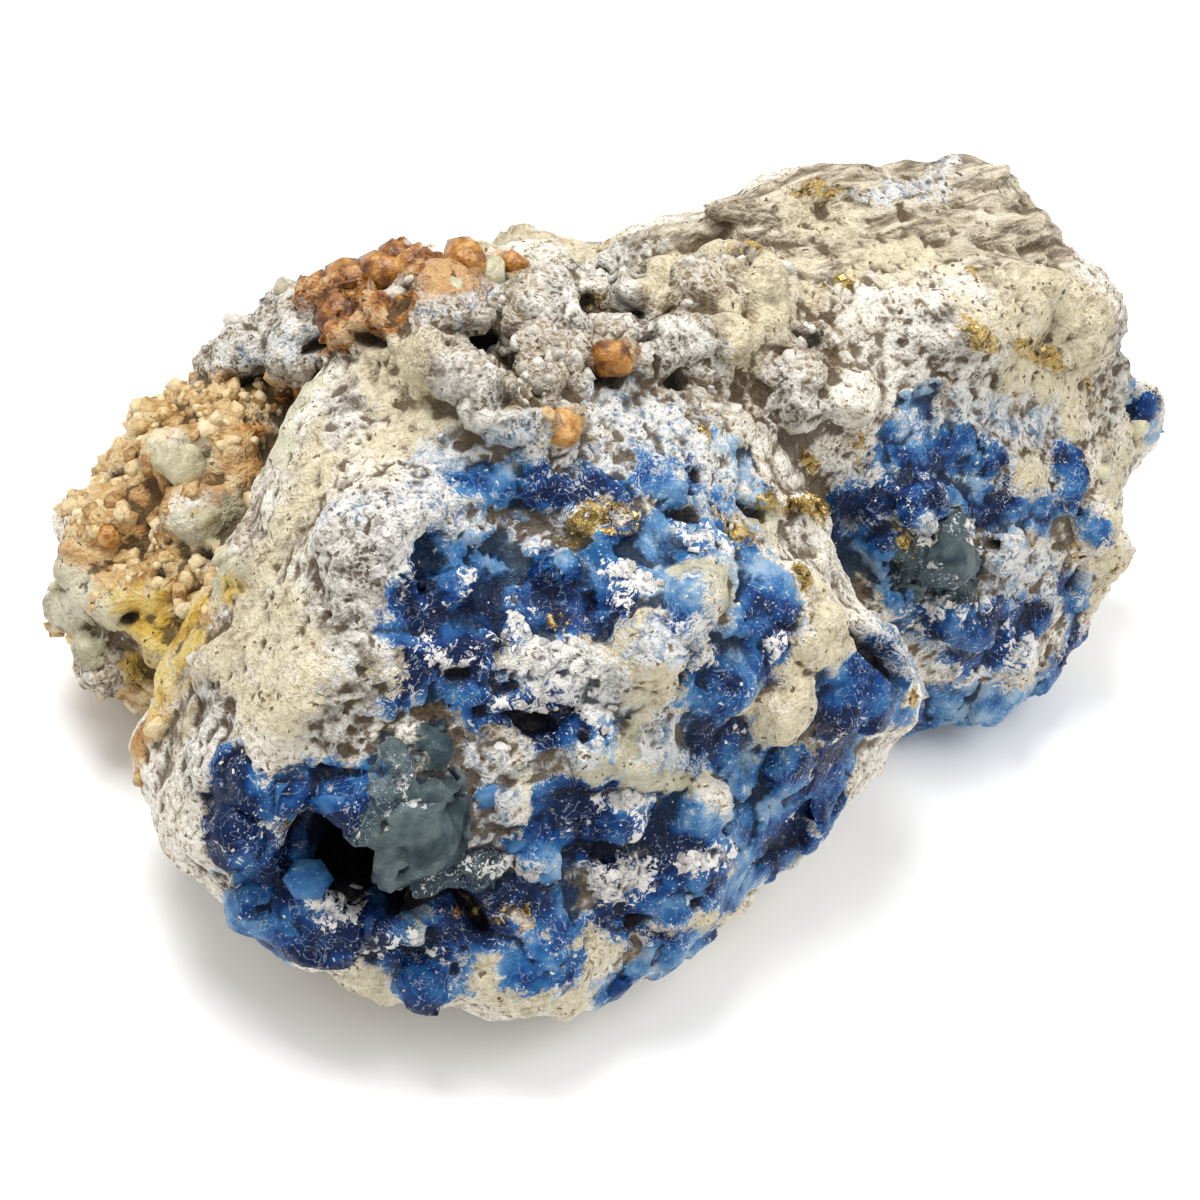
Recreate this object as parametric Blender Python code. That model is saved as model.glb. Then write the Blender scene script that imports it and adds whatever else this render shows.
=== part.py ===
"""Afghanite on pyrite: one lump of pale marble matrix grown through with blue afghanite.

Frame: +X along the length of the stone, from the front end to the end with the high
corner; +Y to its back; +Z up. The stone lies on the flat foot at Z = 0.
All sizes below are millimetres, and MM turns them into metres.
"""

import math

import bmesh
import bpy
from mathutils import Matrix, Vector

MM = 0.001

# Voxel sizes of the two remeshes: the rough mass, and the whole stone with its lumps.
MASS_VOXEL = 1.6
SKIN_VOXEL = 1.0
# Strokes of smoothing that wear the edges of the mass round.
MASS_STROKES = 9
SKIN_STROKES = 2
# Height of the uneven knobs and hollows all over the skin, and the size of the larger ones.
KNOB_HEIGHT = 2.4
KNOB_SIZE = 13.0
GRAIN_HEIGHT = 1.2
GRAIN_SIZE = 5.0
# Share of the triangles that the last thinning keeps.
KEPT_SHARE = 0.060
# How far a crystal stands out of the skin, as a share of the height in its row.
PROUD_SHARE = 0.5
# Height of a crystal's bevelled head for each millimetre of its width.
HEAD_SHARE = 0.12
# Turn from one crystal to the next about its own length, in radians.
TWIST = 0.7
# The foot that the stone lies on is cut at this height of the worn mass.
FOOT_CUT = 0.0

# The front mass: its foot, its steep blue front, the cream shoulder and its back.
FRONT_MASS = [
    (-50, -27, -4), (-34, -38, -4), (-12, -36, -4), (6, -24, -4), (-30, 20, -4), (-55, 6, -4),
    (-68, -25, 8), (-61, -40, 7), (-43, -52, 8), (-24, -51, 9), (-4, -47, 11),
    (14, -42, 16), (18, -38, 25), (4, -37, 38), (-9, -33, 46), (-28, -34, 52),
    (-78, -16, 18), (-74, -22, 34), (-67, -25, 48), (-58, -18, 56), (-46, -22, 57),
    (-75, -1, 18), (-69, -4, 34), (-61, -5, 46), (-55, -1, 55), (-49, 9, 59), (-42, 15, 57),
    (-40, -8, 62), (-27, -9, 60), (-14, 4, 63), (0, -6, 61), (-30, 16, 60),
    (-20, 30, 40), (0, 30, 40), (0, 25, 8), (-44, 22, 30), (-50, 16, 12),
]

# The right mass: the long banded slope, the blue face under it and the high corner.
RIGHT_MASS = [
    (2, -18, -4), (30, -21, -4), (52, -20, -4), (64, -8, -4), (58, 18, -4), (10, 26, -4),
    (35, -33, 5), (48, -37, 7), (61, -33, 9), (73, -27, 13), (79, -18, 24), (77, -13, 34),
    (73, -14, 45), (70, -8, 54), (65, -3, 60), (58, 2, 64), (59, 12, 67), (52, 14, 68),
    (34, 19, 66), (23, 22, 62), (6, 21, 58), (37, -3, 65), (5, -9, 61), (30, -17, 54),
    (19, -22, 47), (47, -25, 38), (19, -26, 38), (40, -31, 20), (60, -27, 28),
    (74, 8, 42), (72, 16, 20), (56, 30, 14), (50, 30, 44), (20, 34, 16), (18, 33, 44),
]

# The tan lobe at the left end, which stands lower than the rest.
TAN_LOBE = [
    (-60, 20, -4), (-50, 30, -4), (-40, 20, -4), (-55, 8, -4),
    (-69, 28, 6), (-71, 30, 14), (-67, 33, 25), (-56, 38, 33), (-48, 37, 37),
    (-61, 22, 30), (-64, 10, 22), (-52, 17, 35), (-36, 30, 38), (-36, 36, 14), (-66, 14, 8),
]

# The hidden back, which closes the gap between the three masses.
BACK_MASS = [
    (-48, 12, -4), (-20, -8, -4), (24, -8, -4), (-40, 28, -4), (20, 28, -4), (40, 22, -4), (-20, 36, 10), (20, 38, 14),
    (-44, 34, 18), (-36, 34, 34), (-16, 34, 44), (10, 34, 42), (34, 32, 46), (52, 28, 40),
    (-30, 20, 52), (0, 24, 54), (30, 24, 58), (50, 20, 56),
]

# Lumps: centre, radii along X, Y and Z, and the turn about Z in degrees.
LUMPS = [
    # Grey shoulder behind the tan lobe.
    ((-38, 36, 32), (11, 9, 11), 20),
    ((-34, 34, 40), (9, 9, 8), 0),
    # Rust-brown cluster on the crest.
    ((-31, 29, 49), (8, 6, 6), 30),
    ((-22, 26, 53), (9, 6, 6), -20),
    # White botryoidal crust behind the shoulder.
    ((-24, 14, 57), (9, 8, 8), 0),
    ((-33, 13, 57), (7, 7, 8), 0),
    ((-14, 16, 58), (8, 7, 7), 0),
    # Grey-brown stub that lies on the shoulder.
    ((-30, 5, 59), (9, 7, 4.5), -20),
    # Crest of the banded slope.
    ((12, 18, 54), (13, 8, 7), 0),
    ((30, 14, 61), (16, 8, 7), 0),
    ((52, 9, 60), (9, 8, 8), 0),
    # Cream slope and crust below the crest.
    ((6, 0, 59), (11, 8, 6), 0),
    ((38, -8, 59), (16, 9, 7), 10),
    ((60, -8, 52), (10, 8, 9), 0),
    # Grey pitted bulge on the left of the basin.
    ((-53, -14, 56), (8, 7, 7), 0),
    # Bulge right of the basin, with the pale green band and the cream knob.
    ((-12, -31, 42), (13, 8, 9), 0),
    ((-28, -33, 47), (8, 6, 7), 0),
    ((2, -35, 33), (12, 8, 9), 0),
    ((12, -36, 24), (8, 6, 8), 0),
    # Lower front, where the lobe turns under.
    ((-44, -42, 14), (13, 10, 10), -15),
    ((-22, -42, 18), (14, 9, 11), 15),
    ((-63, -27, 16), (9, 9, 10), 0),
    # Slate-grey plates over the cavity.
    ((-57, -31, 33), (9, 6, 9), 0),
    # Nub at the right end.
    ((78, -14, 33), (5, 5, 6), 0),
    # Swells of the hidden back and of the right end.
    ((10, 36, 30), (14, 7, 12), 20),
    ((-18, 35, 26), (12, 8, 10), -10),
    ((-30, 30, 12), (13, 8, 9), 0),
    ((38, 28, 32), (14, 8, 16), 15),
    ((30, 30, 14), (14, 8, 9), -10),
    ((62, 17, 36), (9, 9, 14), 0),
    ((70, 3, 24), (9, 10, 14), 0),
    ((0, 31, 46), (11, 7, 6), 0),
]

# Round knobs that stand on the worn mass: centre and radius.
KNOBS = [
    # White botryoidal crust.
    ((-38, 10, 62), 4.6), ((-33, 9, 64), 4.2), ((-27, 12, 64), 4.4), ((-22, 11, 64), 4.2),
    ((-18, 9, 63), 4.0), ((-21, 3, 63), 4.2), ((-26, -2, 63), 3.8), ((-38, 4, 62), 4.0),
    ((-40, 13, 59), 4.2), ((-30, 15, 62), 4.2), ((-24, 5, 65), 3.4),
    # Grey-brown stub that lies on the shoulder.
    ((-38, 1, 64), 3.9), ((-36, -3, 64.5), 3.9), ((-35, -7, 63.5), 4.1), ((-34, -11, 62), 3.7),
    # Crust between the white knobs and the banded slope.
    ((-12, -3, 62), 4.0), ((-6, -3, 62), 3.6), ((-1, -4, 62), 4.2), ((1, 2, 63), 4.0),
    ((-5, 7, 61), 4.2), ((7, 2, 64), 4.6), ((10, 9, 61), 4.2), ((3, 12, 57), 4.6),
    ((-10, 11, 60), 4.0), ((7, -11, 57), 4.6), ((15, -14, 56), 4.2), ((-17, -4, 62), 3.0),
    # Knobs of the tan lobe.
    ((-55, 27, 34), 4.2), ((-57, 19, 32), 4.0), ((-59, 31, 28), 4.0), ((-54, 35, 31), 3.8),
    ((-64, 26, 26), 3.8), ((-67, 23, 21), 3.8), ((-69, 25, 15), 3.8), ((-66, 17, 22), 4.0),
    ((-62, 14, 26), 3.8), ((-56, 11, 30), 4.0), ((-53, 17, 32), 3.8), ((-50, 22, 35), 3.6),
    ((-49, 28, 36), 4.0), ((-45, 32, 37), 4.2), ((-64, 10, 21), 3.4), ((-69, 16, 14), 3.8),
    ((-63, 36, 18), 4.4), ((-54, 40, 20), 4.6),
    # Grey shoulder behind the tan lobe.
    ((-35, 39, 43), 4.2), ((-41, 35, 42), 4.0), ((-44, 37, 38), 3.8), ((-39, 28, 45), 4.4),
    # Cream knobs by the basin, and the pale green band.
    ((-30, -35, 50), 4.6), ((-23, -33, 52), 4.2), ((-20, -29, 51), 4.4), ((-31, -39, 38), 4.4),
    ((-10, -38, 36), 5.2), ((-19, -38, 42), 4.2), ((1, -38, 34), 5.0), ((-38, -38, 40), 3.8),
    # Knobs of the hidden back.
    ((6, 41, 36), 4.6), ((14, 41, 30), 4.2), ((2, 41, 29), 4.4), ((-14, 41, 32), 4.4),
    ((-22, 41, 27), 4.6), ((-24, 37, 36), 4.2), ((34, 35, 38), 4.6), ((42, 34, 30), 4.4),
    ((36, 37, 26), 4.2), ((-34, 37, 15), 4.6), ((-20, 38, 12), 4.4), ((24, 38, 14), 4.6),
    ((36, 37, 10), 4.4), ((62, 25, 30), 4.4), ((68, 20, 38), 4.2), ((74, 10, 28), 4.4),
    ((76, 4, 18), 4.2), ((52, 28, 40), 4.4), ((0, 37, 46), 4.2), ((-10, 34, 48), 4.2),
    # Blue and cream nubs of the right end and of the lower edge.
    ((76, -15, 38), 4.4), ((79, -14, 31), 3.6), ((66, -26, 23), 4.4), ((58, -27, 31), 4.2),
    ((-3, -44, 16), 3.6), ((35, -30, 24), 4.6), ((44, -31, 16), 5.0), ((28, -26, 37), 4.4),
]

# Low ridges of the banded slope, where its layers weather out: given like the lumps.
RIDGES = [
    ((32, 10, 65.2), (24, 2.4, 2.2), -18), ((42, 2, 63.6), (20, 2.6, 2.2), -7),
    ((40, -9, 62.4), (15, 2.4, 2.0), -8), ((24, 14, 63.6), (14, 2.0, 2.0), -20),
    ((56, -8, 58.6), (10, 2.2, 2.0), -12), ((14, 6, 62.2), (9, 2.2, 2.0), -30),
]

# Flat-faced crystals: middle of the root, way that they point, width, height and sides.
CRYSTALS = [
    # Blue afghanite of the front-left face and its cavity.
    ((-66, -29, 21), (-0.6, -0.6, 0.5), 5.2, 5.0, 6),
    ((-73, -25, 29), (-0.8, -0.5, 0.1), 6.0, 3.4, 6),
    ((-71, -28, 18), (-0.7, -0.6, 0.2), 7.0, 3.4, 5),
    ((-65, -34, 17), (-0.6, -0.7, 0.1), 7.0, 3.6, 6),
    ((-59, -38, 21), (-0.4, -0.9, 0.2), 6.4, 3.4, 5),
    ((-56, -43, 13), (-0.5, -0.8, -0.1), 7.4, 2.8, 6),
    ((-74, -21, 24), (-0.9, -0.3, 0.0), 6.4, 2.8, 5),
    # Bright blue blocks of the front lobe.
    ((-44, -41, 29), (-0.2, -0.9, 0.4), 6.6, 3.6, 4),
    ((-47, -38, 35), (-0.4, -0.7, 0.5), 5.4, 3.6, 4),
    ((-36, -44, 24), (0.0, -1.0, 0.2), 7.6, 3.2, 5),
    ((-34, -42, 31), (0.1, -0.9, 0.4), 7.0, 3.2, 6),
    ((-23, -44, 29), (0.0, -0.8, 0.6), 8.0, 3.0, 6),
    ((-15, -44, 22), (0.1, -1.0, 0.1), 8.4, 2.8, 5),
    ((-8, -42, 28), (0.1, -1.0, 0.2), 7.4, 3.0, 6),
    ((5, -42, 31), (0.3, -0.9, 0.3), 7.0, 2.8, 5),
    ((-29, -50, 12), (0.0, -1.0, -0.1), 8.0, 2.4, 6),
    # Slate-grey plates over the cavity.
    ((-57, -32, 41), (-0.2, -0.6, 0.8), 9.0, 2.6, 5),
    ((-59, -36, 34), (-0.4, -0.9, 0.2), 10.0, 3.0, 6),
    # Blue blocks of the basin and of the right mass.
    ((-48, -22, 54), (0.0, -0.5, 0.9), 6.0, 2.6, 6),
    ((-36, -24, 55), (0.0, -0.5, 0.9), 5.6, 2.6, 5),
    ((22, -24, 45), (0.1, -0.9, 0.4), 8.0, 2.6, 6),
    ((20, -26, 30), (-0.3, -0.9, 0.1), 7.6, 2.6, 5),
    ((30, -30, 28), (0.1, -0.9, 0.2), 8.4, 2.6, 6),
    ((39, -28, 34), (0.0, -0.9, 0.3), 7.6, 2.6, 5),
    ((53, -24, 38), (0.2, -0.9, 0.3), 7.0, 3.0, 6),
    # Pyrite grains, square and brassy.
    ((-31, -20, 57), (-0.2, -0.5, 0.8), 3.2, 2.2, 4),
    ((-27, -22, 57), (0.2, -0.4, 0.9), 3.4, 2.0, 4),
    ((-3, -20, 51), (0.3, -0.6, 0.7), 5.4, 2.6, 4),
    ((1, -22, 50), (0.4, -0.6, 0.7), 4.4, 3.0, 4),
    ((-5, -31, 49), (0.3, -0.4, 0.9), 3.0, 2.0, 4),
    ((18, -24, 38), (-0.4, -0.9, 0.2), 4.2, 2.4, 4),
    ((32, -15, 62), (0.1, -0.6, 0.8), 4.0, 2.2, 4),
    ((42, -14, 58), (0.2, -0.7, 0.6), 4.6, 2.0, 4),
    ((25, 13, 66), (-0.1, 0.0, 1.0), 5.0, 2.4, 4),
    ((56, 9, 66), (0.2, 0.1, 1.0), 4.4, 2.4, 4),
    # Blue and brassy crystals of the hidden back.
    ((16, 41, 36), (0.1, 0.9, 0.3), 8.4, 3.4, 6),
    ((8, 43, 30), (0.0, 1.0, 0.1), 7.0, 3.0, 5),
    ((44, 34, 36), (0.3, 0.9, 0.2), 8.0, 3.4, 6),
    ((30, 37, 30), (0.0, 1.0, 0.1), 7.6, 3.0, 5),
    ((-16, 42, 24), (-0.1, 1.0, 0.1), 8.4, 3.2, 6),
    ((70, 14, 34), (0.8, 0.5, 0.2), 7.4, 3.2, 6),
    ((75, 2, 26), (1.0, 0.1, 0.1), 7.0, 3.0, 5),
    ((52, 29, 28), (0.4, 0.9, 0.1), 4.4, 2.6, 4),
    ((-28, 39, 22), (-0.2, 1.0, 0.1), 4.2, 2.4, 4),
    # Rust-brown blocks of the crest cluster.
    ((-33, 29, 50.5), (-0.5, 0.4, 0.8), 7.0, 4.0, 5),
    ((-34, 26, 52), (-0.5, -0.4, 0.8), 7.4, 4.2, 4),
    ((-27, 26, 54.5), (-0.4, 0.0, 0.9), 8.0, 3.6, 5),
    ((-24, 22, 56.5), (-0.2, 0.2, 1.0), 6.6, 3.2, 4),
    ((-21, 23, 56.5), (0.0, 0.1, 1.0), 5.6, 3.0, 5),
    ((-16, 24, 56), (0.3, 0.1, 1.0), 5.0, 3.0, 4),
    ((-36, 23, 50), (-0.6, -0.5, 0.6), 5.6, 3.4, 5),
    # Pale orange plate beside the stub.
    ((-29, -11, 62), (0.0, -0.4, 0.9), 5.6, 2.4, 5),
]

# Hollows, given like the lumps.
HOLLOWS = [
    # Wide basin of deep blue in the middle, in two steps.
    ((-43, -26, 62), (17, 11, 11), 15),
    ((-38, -31, 57), (9, 6, 8), 10),
    # Cleft between the front mass and the right mass, in two lengths.
    ((12, -33, 46), (6, 9, 10), 0),
    ((24, -38, 24), (5, 10, 15), 10),
    # Cavity low on the front-left face, under the slate-grey plates.
    ((-67, -34, 26), (7, 5, 5.5), -40),
    # Crevice below the basin.
    ((-42, -38, 43), (9, 5, 2.6), 12),
    # Hole in the white crust.
    ((-31, 3, 65), (3, 2.6, 6), 0),
    # Fall between the tan lobe and the shoulder ridge.
    ((-60, 13, 42), (8, 5, 9), 35),
    # Hollows and a ledge of the hidden back.
    ((24, 41, 34), (5, 6, 15), 15),
    ((-4, 45, 20), (9, 7, 6), 0),
    ((52, 34, 20), (8, 7, 7), 20),
    ((14, 38, 55), (20, 7, 5), 4),
    ((72, 14, 44), (6, 9, 5), 0),
    # Pits between the white crust and the banded slope.
    ((-6, 12, 63), (4, 3, 5), 30),
    ((-13, 2, 66), (3.5, 2.6, 4), 0),
]


def mesh_object(name, shape):
    mesh = bpy.data.meshes.new(name)
    shape.to_mesh(mesh)
    shape.free()
    made = bpy.data.objects.new(name, mesh)
    bpy.context.scene.collection.objects.link(made)
    return made


def add_hull(shape, corners):
    points = [shape.verts.new(Vector(corner) * MM) for corner in corners]
    made = bmesh.ops.convex_hull(shape, input=points)
    inside = {v for v in made["geom_interior"] + made["geom_unused"] if isinstance(v, bmesh.types.BMVert)}
    bmesh.ops.delete(shape, geom=list(inside), context="VERTS")


def add_lump(shape, centre, radii, turn):
    place = Matrix.Translation(Vector(centre) * MM)
    place = place @ Matrix.Rotation(math.radians(turn), 4, "Z")
    place = place @ Matrix.Diagonal((radii[0] * MM, radii[1] * MM, radii[2] * MM, 1))
    bmesh.ops.create_icosphere(shape, subdivisions=4, radius=1, matrix=place)


def add_crystal(shape, root, way, width, height, sides, twist):
    """A prism sunk to half its width, with a bevelled head on its outer end."""
    way = Vector(way).normalized()
    place = Matrix.Translation(Vector(root) * MM) @ way.to_track_quat("Z", "Y").to_matrix().to_4x4()
    rings = []
    for share, level in ((0.5, -width / 2), (0.5, height), (0.32, height + width * HEAD_SHARE)):
        ring = []
        for side in range(sides):
            turn = 2 * math.pi * side / sides + twist
            spot = Vector((math.cos(turn) * width * share, math.sin(turn) * width * share, level))
            ring.append(shape.verts.new(place @ (spot * MM)))
        rings.append(ring)
    shape.faces.new(list(reversed(rings[0])))
    shape.faces.new(rings[-1])
    for low, high in zip(rings, rings[1:]):
        for side in range(sides):
            after = (side + 1) % sides
            shape.faces.new((low[side], low[after], high[after], high[side]))


def remesh(made, voxel):
    step = made.modifiers.new("Remesh", "REMESH")
    step.mode = "VOXEL"
    step.voxel_size = voxel * MM


def smooth(made, strokes):
    step = made.modifiers.new("Smooth", "SMOOTH")
    step.factor = 0.5
    step.iterations = strokes


def displace(made, kind, size, height):
    texture = bpy.data.textures.new("Relief", kind)
    texture.noise_scale = size * MM
    step = made.modifiers.new("Displace", "DISPLACE")
    step.texture = texture
    step.strength = height * MM
    step.mid_level = 0.5
    step.texture_coords = "LOCAL"


for old in list(bpy.data.objects):
    bpy.data.objects.remove(old)

mass = bmesh.new()
for corners in (FRONT_MASS, RIGHT_MASS, TAN_LOBE, BACK_MASS):
    add_hull(mass, corners)
for centre, radii, turn in LUMPS:
    add_lump(mass, centre, radii, turn)
stone = mesh_object("stone", mass)

cut = bmesh.new()
for centre, radii, turn in HOLLOWS:
    add_lump(cut, centre, radii, turn)
hollows = mesh_object("hollows", cut)
hollows.hide_render = True
remesh(hollows, SKIN_VOXEL)

remesh(stone, MASS_VOXEL)
smooth(stone, MASS_STROKES)
carve = stone.modifiers.new("Hollows", "BOOLEAN")
carve.operation = "DIFFERENCE"
carve.solver = "EXACT"
carve.object = hollows
crust = bmesh.new()
for centre, radius in KNOBS:
    add_lump(crust, centre, (radius, radius, radius), 0)
for centre, radii, turn in RIDGES:
    add_lump(crust, centre, radii, turn)
knobs = mesh_object("knobs", crust)
knobs.hide_render = True
remesh(knobs, SKIN_VOXEL)
grow = stone.modifiers.new("Knobs", "BOOLEAN")
grow.operation = "UNION"
grow.solver = "EXACT"
grow.object = knobs
remesh(stone, SKIN_VOXEL)
smooth(stone, SKIN_STROKES)
displace(stone, "CLOUDS", KNOB_SIZE, KNOB_HEIGHT)
displace(stone, "CLOUDS", GRAIN_SIZE, GRAIN_HEIGHT)
thin = stone.modifiers.new("Thin", "DECIMATE")
thin.ratio = KEPT_SHARE
thin.use_collapse_triangulate = True

flats = bmesh.new()
for count, (root, way, width, height, sides) in enumerate(CRYSTALS):
    add_crystal(flats, root, way, width, height * PROUD_SHARE, sides, count * TWIST)
crystals = mesh_object("crystals", flats)
crystals.hide_render = True
fuse = stone.modifiers.new("Crystals", "BOOLEAN")
fuse.operation = "UNION"
fuse.solver = "EXACT"
fuse.use_self = True
fuse.object = crystals

table = bmesh.new()
bmesh.ops.create_cube(table, size=1, matrix=Matrix.Diagonal((0.4, 0.4, 0.1, 1)))
under = mesh_object("under", table)
under.location.z = FOOT_CUT * MM - 0.05
under.hide_render = True
foot = stone.modifiers.new("Foot", "BOOLEAN")
foot.operation = "DIFFERENCE"
foot.solver = "EXACT"
foot.object = under

# The finished stone is one plain mesh, moved so that its box stands centred on the origin.
bpy.context.view_layer.update()
graph = bpy.context.evaluated_depsgraph_get()
rough = stone.data
stone.data = bpy.data.meshes.new_from_object(stone.evaluated_get(graph))
stone.modifiers.clear()
bpy.data.meshes.remove(rough)
for helper in (hollows, knobs, crystals, under):
    bpy.data.objects.remove(helper)
spots = [vertex.co for vertex in stone.data.vertices]
middle = Vector((
    (min(spot.x for spot in spots) + max(spot.x for spot in spots)) / 2,
    (min(spot.y for spot in spots) + max(spot.y for spot in spots)) / 2,
    min(spot.z for spot in spots),
))
stone.data.transform(Matrix.Translation(-middle))

grey = bpy.data.materials.new("Marble matrix")
grey.use_nodes = True
shader = grey.node_tree.nodes["Principled BSDF"]
shader.inputs["Base Color"].default_value = (0.62, 0.60, 0.55, 1)
shader.inputs["Roughness"].default_value = 0.7
shader.inputs["Metallic"].default_value = 0.0
stone.data.materials.clear()
stone.data.materials.append(grey)
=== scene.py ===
import math

import bmesh
import bpy
import numpy as np
from mathutils import Matrix, Vector, noise
from mathutils.bvhtree import BVHTree


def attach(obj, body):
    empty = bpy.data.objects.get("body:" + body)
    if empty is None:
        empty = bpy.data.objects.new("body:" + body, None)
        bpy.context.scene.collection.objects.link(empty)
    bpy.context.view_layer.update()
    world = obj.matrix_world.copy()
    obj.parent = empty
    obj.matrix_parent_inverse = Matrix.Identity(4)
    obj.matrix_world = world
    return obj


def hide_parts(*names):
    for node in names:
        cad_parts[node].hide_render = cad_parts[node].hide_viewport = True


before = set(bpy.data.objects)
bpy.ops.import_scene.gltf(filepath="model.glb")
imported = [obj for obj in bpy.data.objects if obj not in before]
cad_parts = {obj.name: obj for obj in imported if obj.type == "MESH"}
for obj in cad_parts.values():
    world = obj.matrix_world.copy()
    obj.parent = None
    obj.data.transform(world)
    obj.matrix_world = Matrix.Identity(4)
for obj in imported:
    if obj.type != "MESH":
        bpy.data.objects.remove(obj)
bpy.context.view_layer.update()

MM = 0.001

# The view. A camera on a stand looks down on the stone, along the diagonal of its two
# front faces, and is rolled a little to the right. Its frame is 1200 by 1200 pixels.
FRAME_PIXELS = 1200
FOCAL_PIXELS = 2100
SENSOR_MM = 36
CAMERA_PLACE = Vector((-155.7, -145.1, 209.0)) * MM
LOOK_TURN = math.radians(45)
LOOK_DOWN = math.radians(42.7)
LOOK_ROLL = math.radians(15.8)

level = Vector((math.cos(LOOK_TURN), math.sin(LOOK_TURN), 0))
side = Vector((math.sin(LOOK_TURN), -math.cos(LOOK_TURN), 0))
forward = level * math.cos(LOOK_DOWN) - Vector((0, 0, math.sin(LOOK_DOWN)))
upright = level * math.sin(LOOK_DOWN) + Vector((0, 0, math.cos(LOOK_DOWN)))
frame_right = side * math.cos(LOOK_ROLL) + upright * math.sin(LOOK_ROLL)
frame_up = upright * math.cos(LOOK_ROLL) - side * math.sin(LOOK_ROLL)

lens = bpy.data.cameras.new("View")
lens.sensor_width = SENSOR_MM
lens.lens = SENSOR_MM * FOCAL_PIXELS / FRAME_PIXELS
lens.clip_start = 0.01
view = bpy.data.objects.new("View", lens)
view.matrix_world = Matrix.Translation(CAMERA_PLACE) @ Matrix(
    (frame_right, frame_up, -forward)
).transposed().to_4x4()
bpy.context.scene.collection.objects.link(view)
bpy.context.scene.camera = view


# The stone. One natural lump of pale marble, grown through with blue afghanite and brassy
# pyrite. Its rough skin is worked here from the solid: rounded, then given its crust, knobs,
# pits, broken blocks and worn layers, each only where that mineral lies.
SKIN_VOXEL = 0.75
WORN_STROKES = 3
FOOT_FLAT = 0.35

node = bpy.data.objects["stone"]
solid = bmesh.new()
solid.from_mesh(node.data)
bmesh.ops.remove_doubles(solid, verts=solid.verts, dist=1e-6)
surface = BVHTree.FromBMesh(solid)
worn = bpy.data.meshes.new("stone_skin")
solid.to_mesh(worn)
solid.free()
skin = bpy.data.objects.new("stone_skin", worn)
bpy.context.scene.collection.objects.link(skin)
step = skin.modifiers.new("Remesh", "REMESH")
step.mode = "VOXEL"
step.voxel_size = SKIN_VOXEL * MM
step = skin.modifiers.new("Worn", "SMOOTH")
step.factor = 0.5
step.iterations = WORN_STROKES
graph = bpy.context.evaluated_depsgraph_get()
rounded = bpy.data.meshes.new_from_object(skin.evaluated_get(graph))
skin.modifiers.clear()
skin.data = rounded
bpy.data.meshes.remove(worn)


def put_in_order(mesh):
    """Numbers the points and faces of a mesh by where they are, so that it is always the same."""
    points = np.array([corner.co for corner in mesh.vertices])
    keys = np.round(points / (0.002 * MM)).astype(np.int64)
    order = np.lexsort((keys[:, 2], keys[:, 1], keys[:, 0]))
    rank = np.empty(len(order), np.int64)
    rank[order] = np.arange(len(order))
    faces = []
    for face in mesh.polygons:
        corners = [int(rank[corner]) for corner in face.vertices]
        first = corners.index(min(corners))
        faces.append(tuple(corners[first:] + corners[:first]))
    faces.sort()
    points = points[order]
    mesh.clear_geometry()
    mesh.from_pydata(points.tolist(), [], faces)


put_in_order(rounded)


def spot(place):
    """The point of the solid under a pixel of the frame, or a place in millimetres."""
    if len(place) == 3:
        return surface.find_nearest(Vector(place) * MM)[0]
    across = (place[0] - FRAME_PIXELS / 2) / FOCAL_PIXELS
    down = (place[1] - FRAME_PIXELS / 2) / FOCAL_PIXELS
    way = (forward + frame_right * across - frame_up * down).normalized()
    found = surface.ray_cast(CAMERA_PLACE, way)[0]
    if found is None:
        along = max((Vector((0, 0, 0.03)) - CAMERA_PLACE).dot(way), 0)
        found = surface.find_nearest(CAMERA_PLACE + way * along)[0]
    return found


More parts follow.
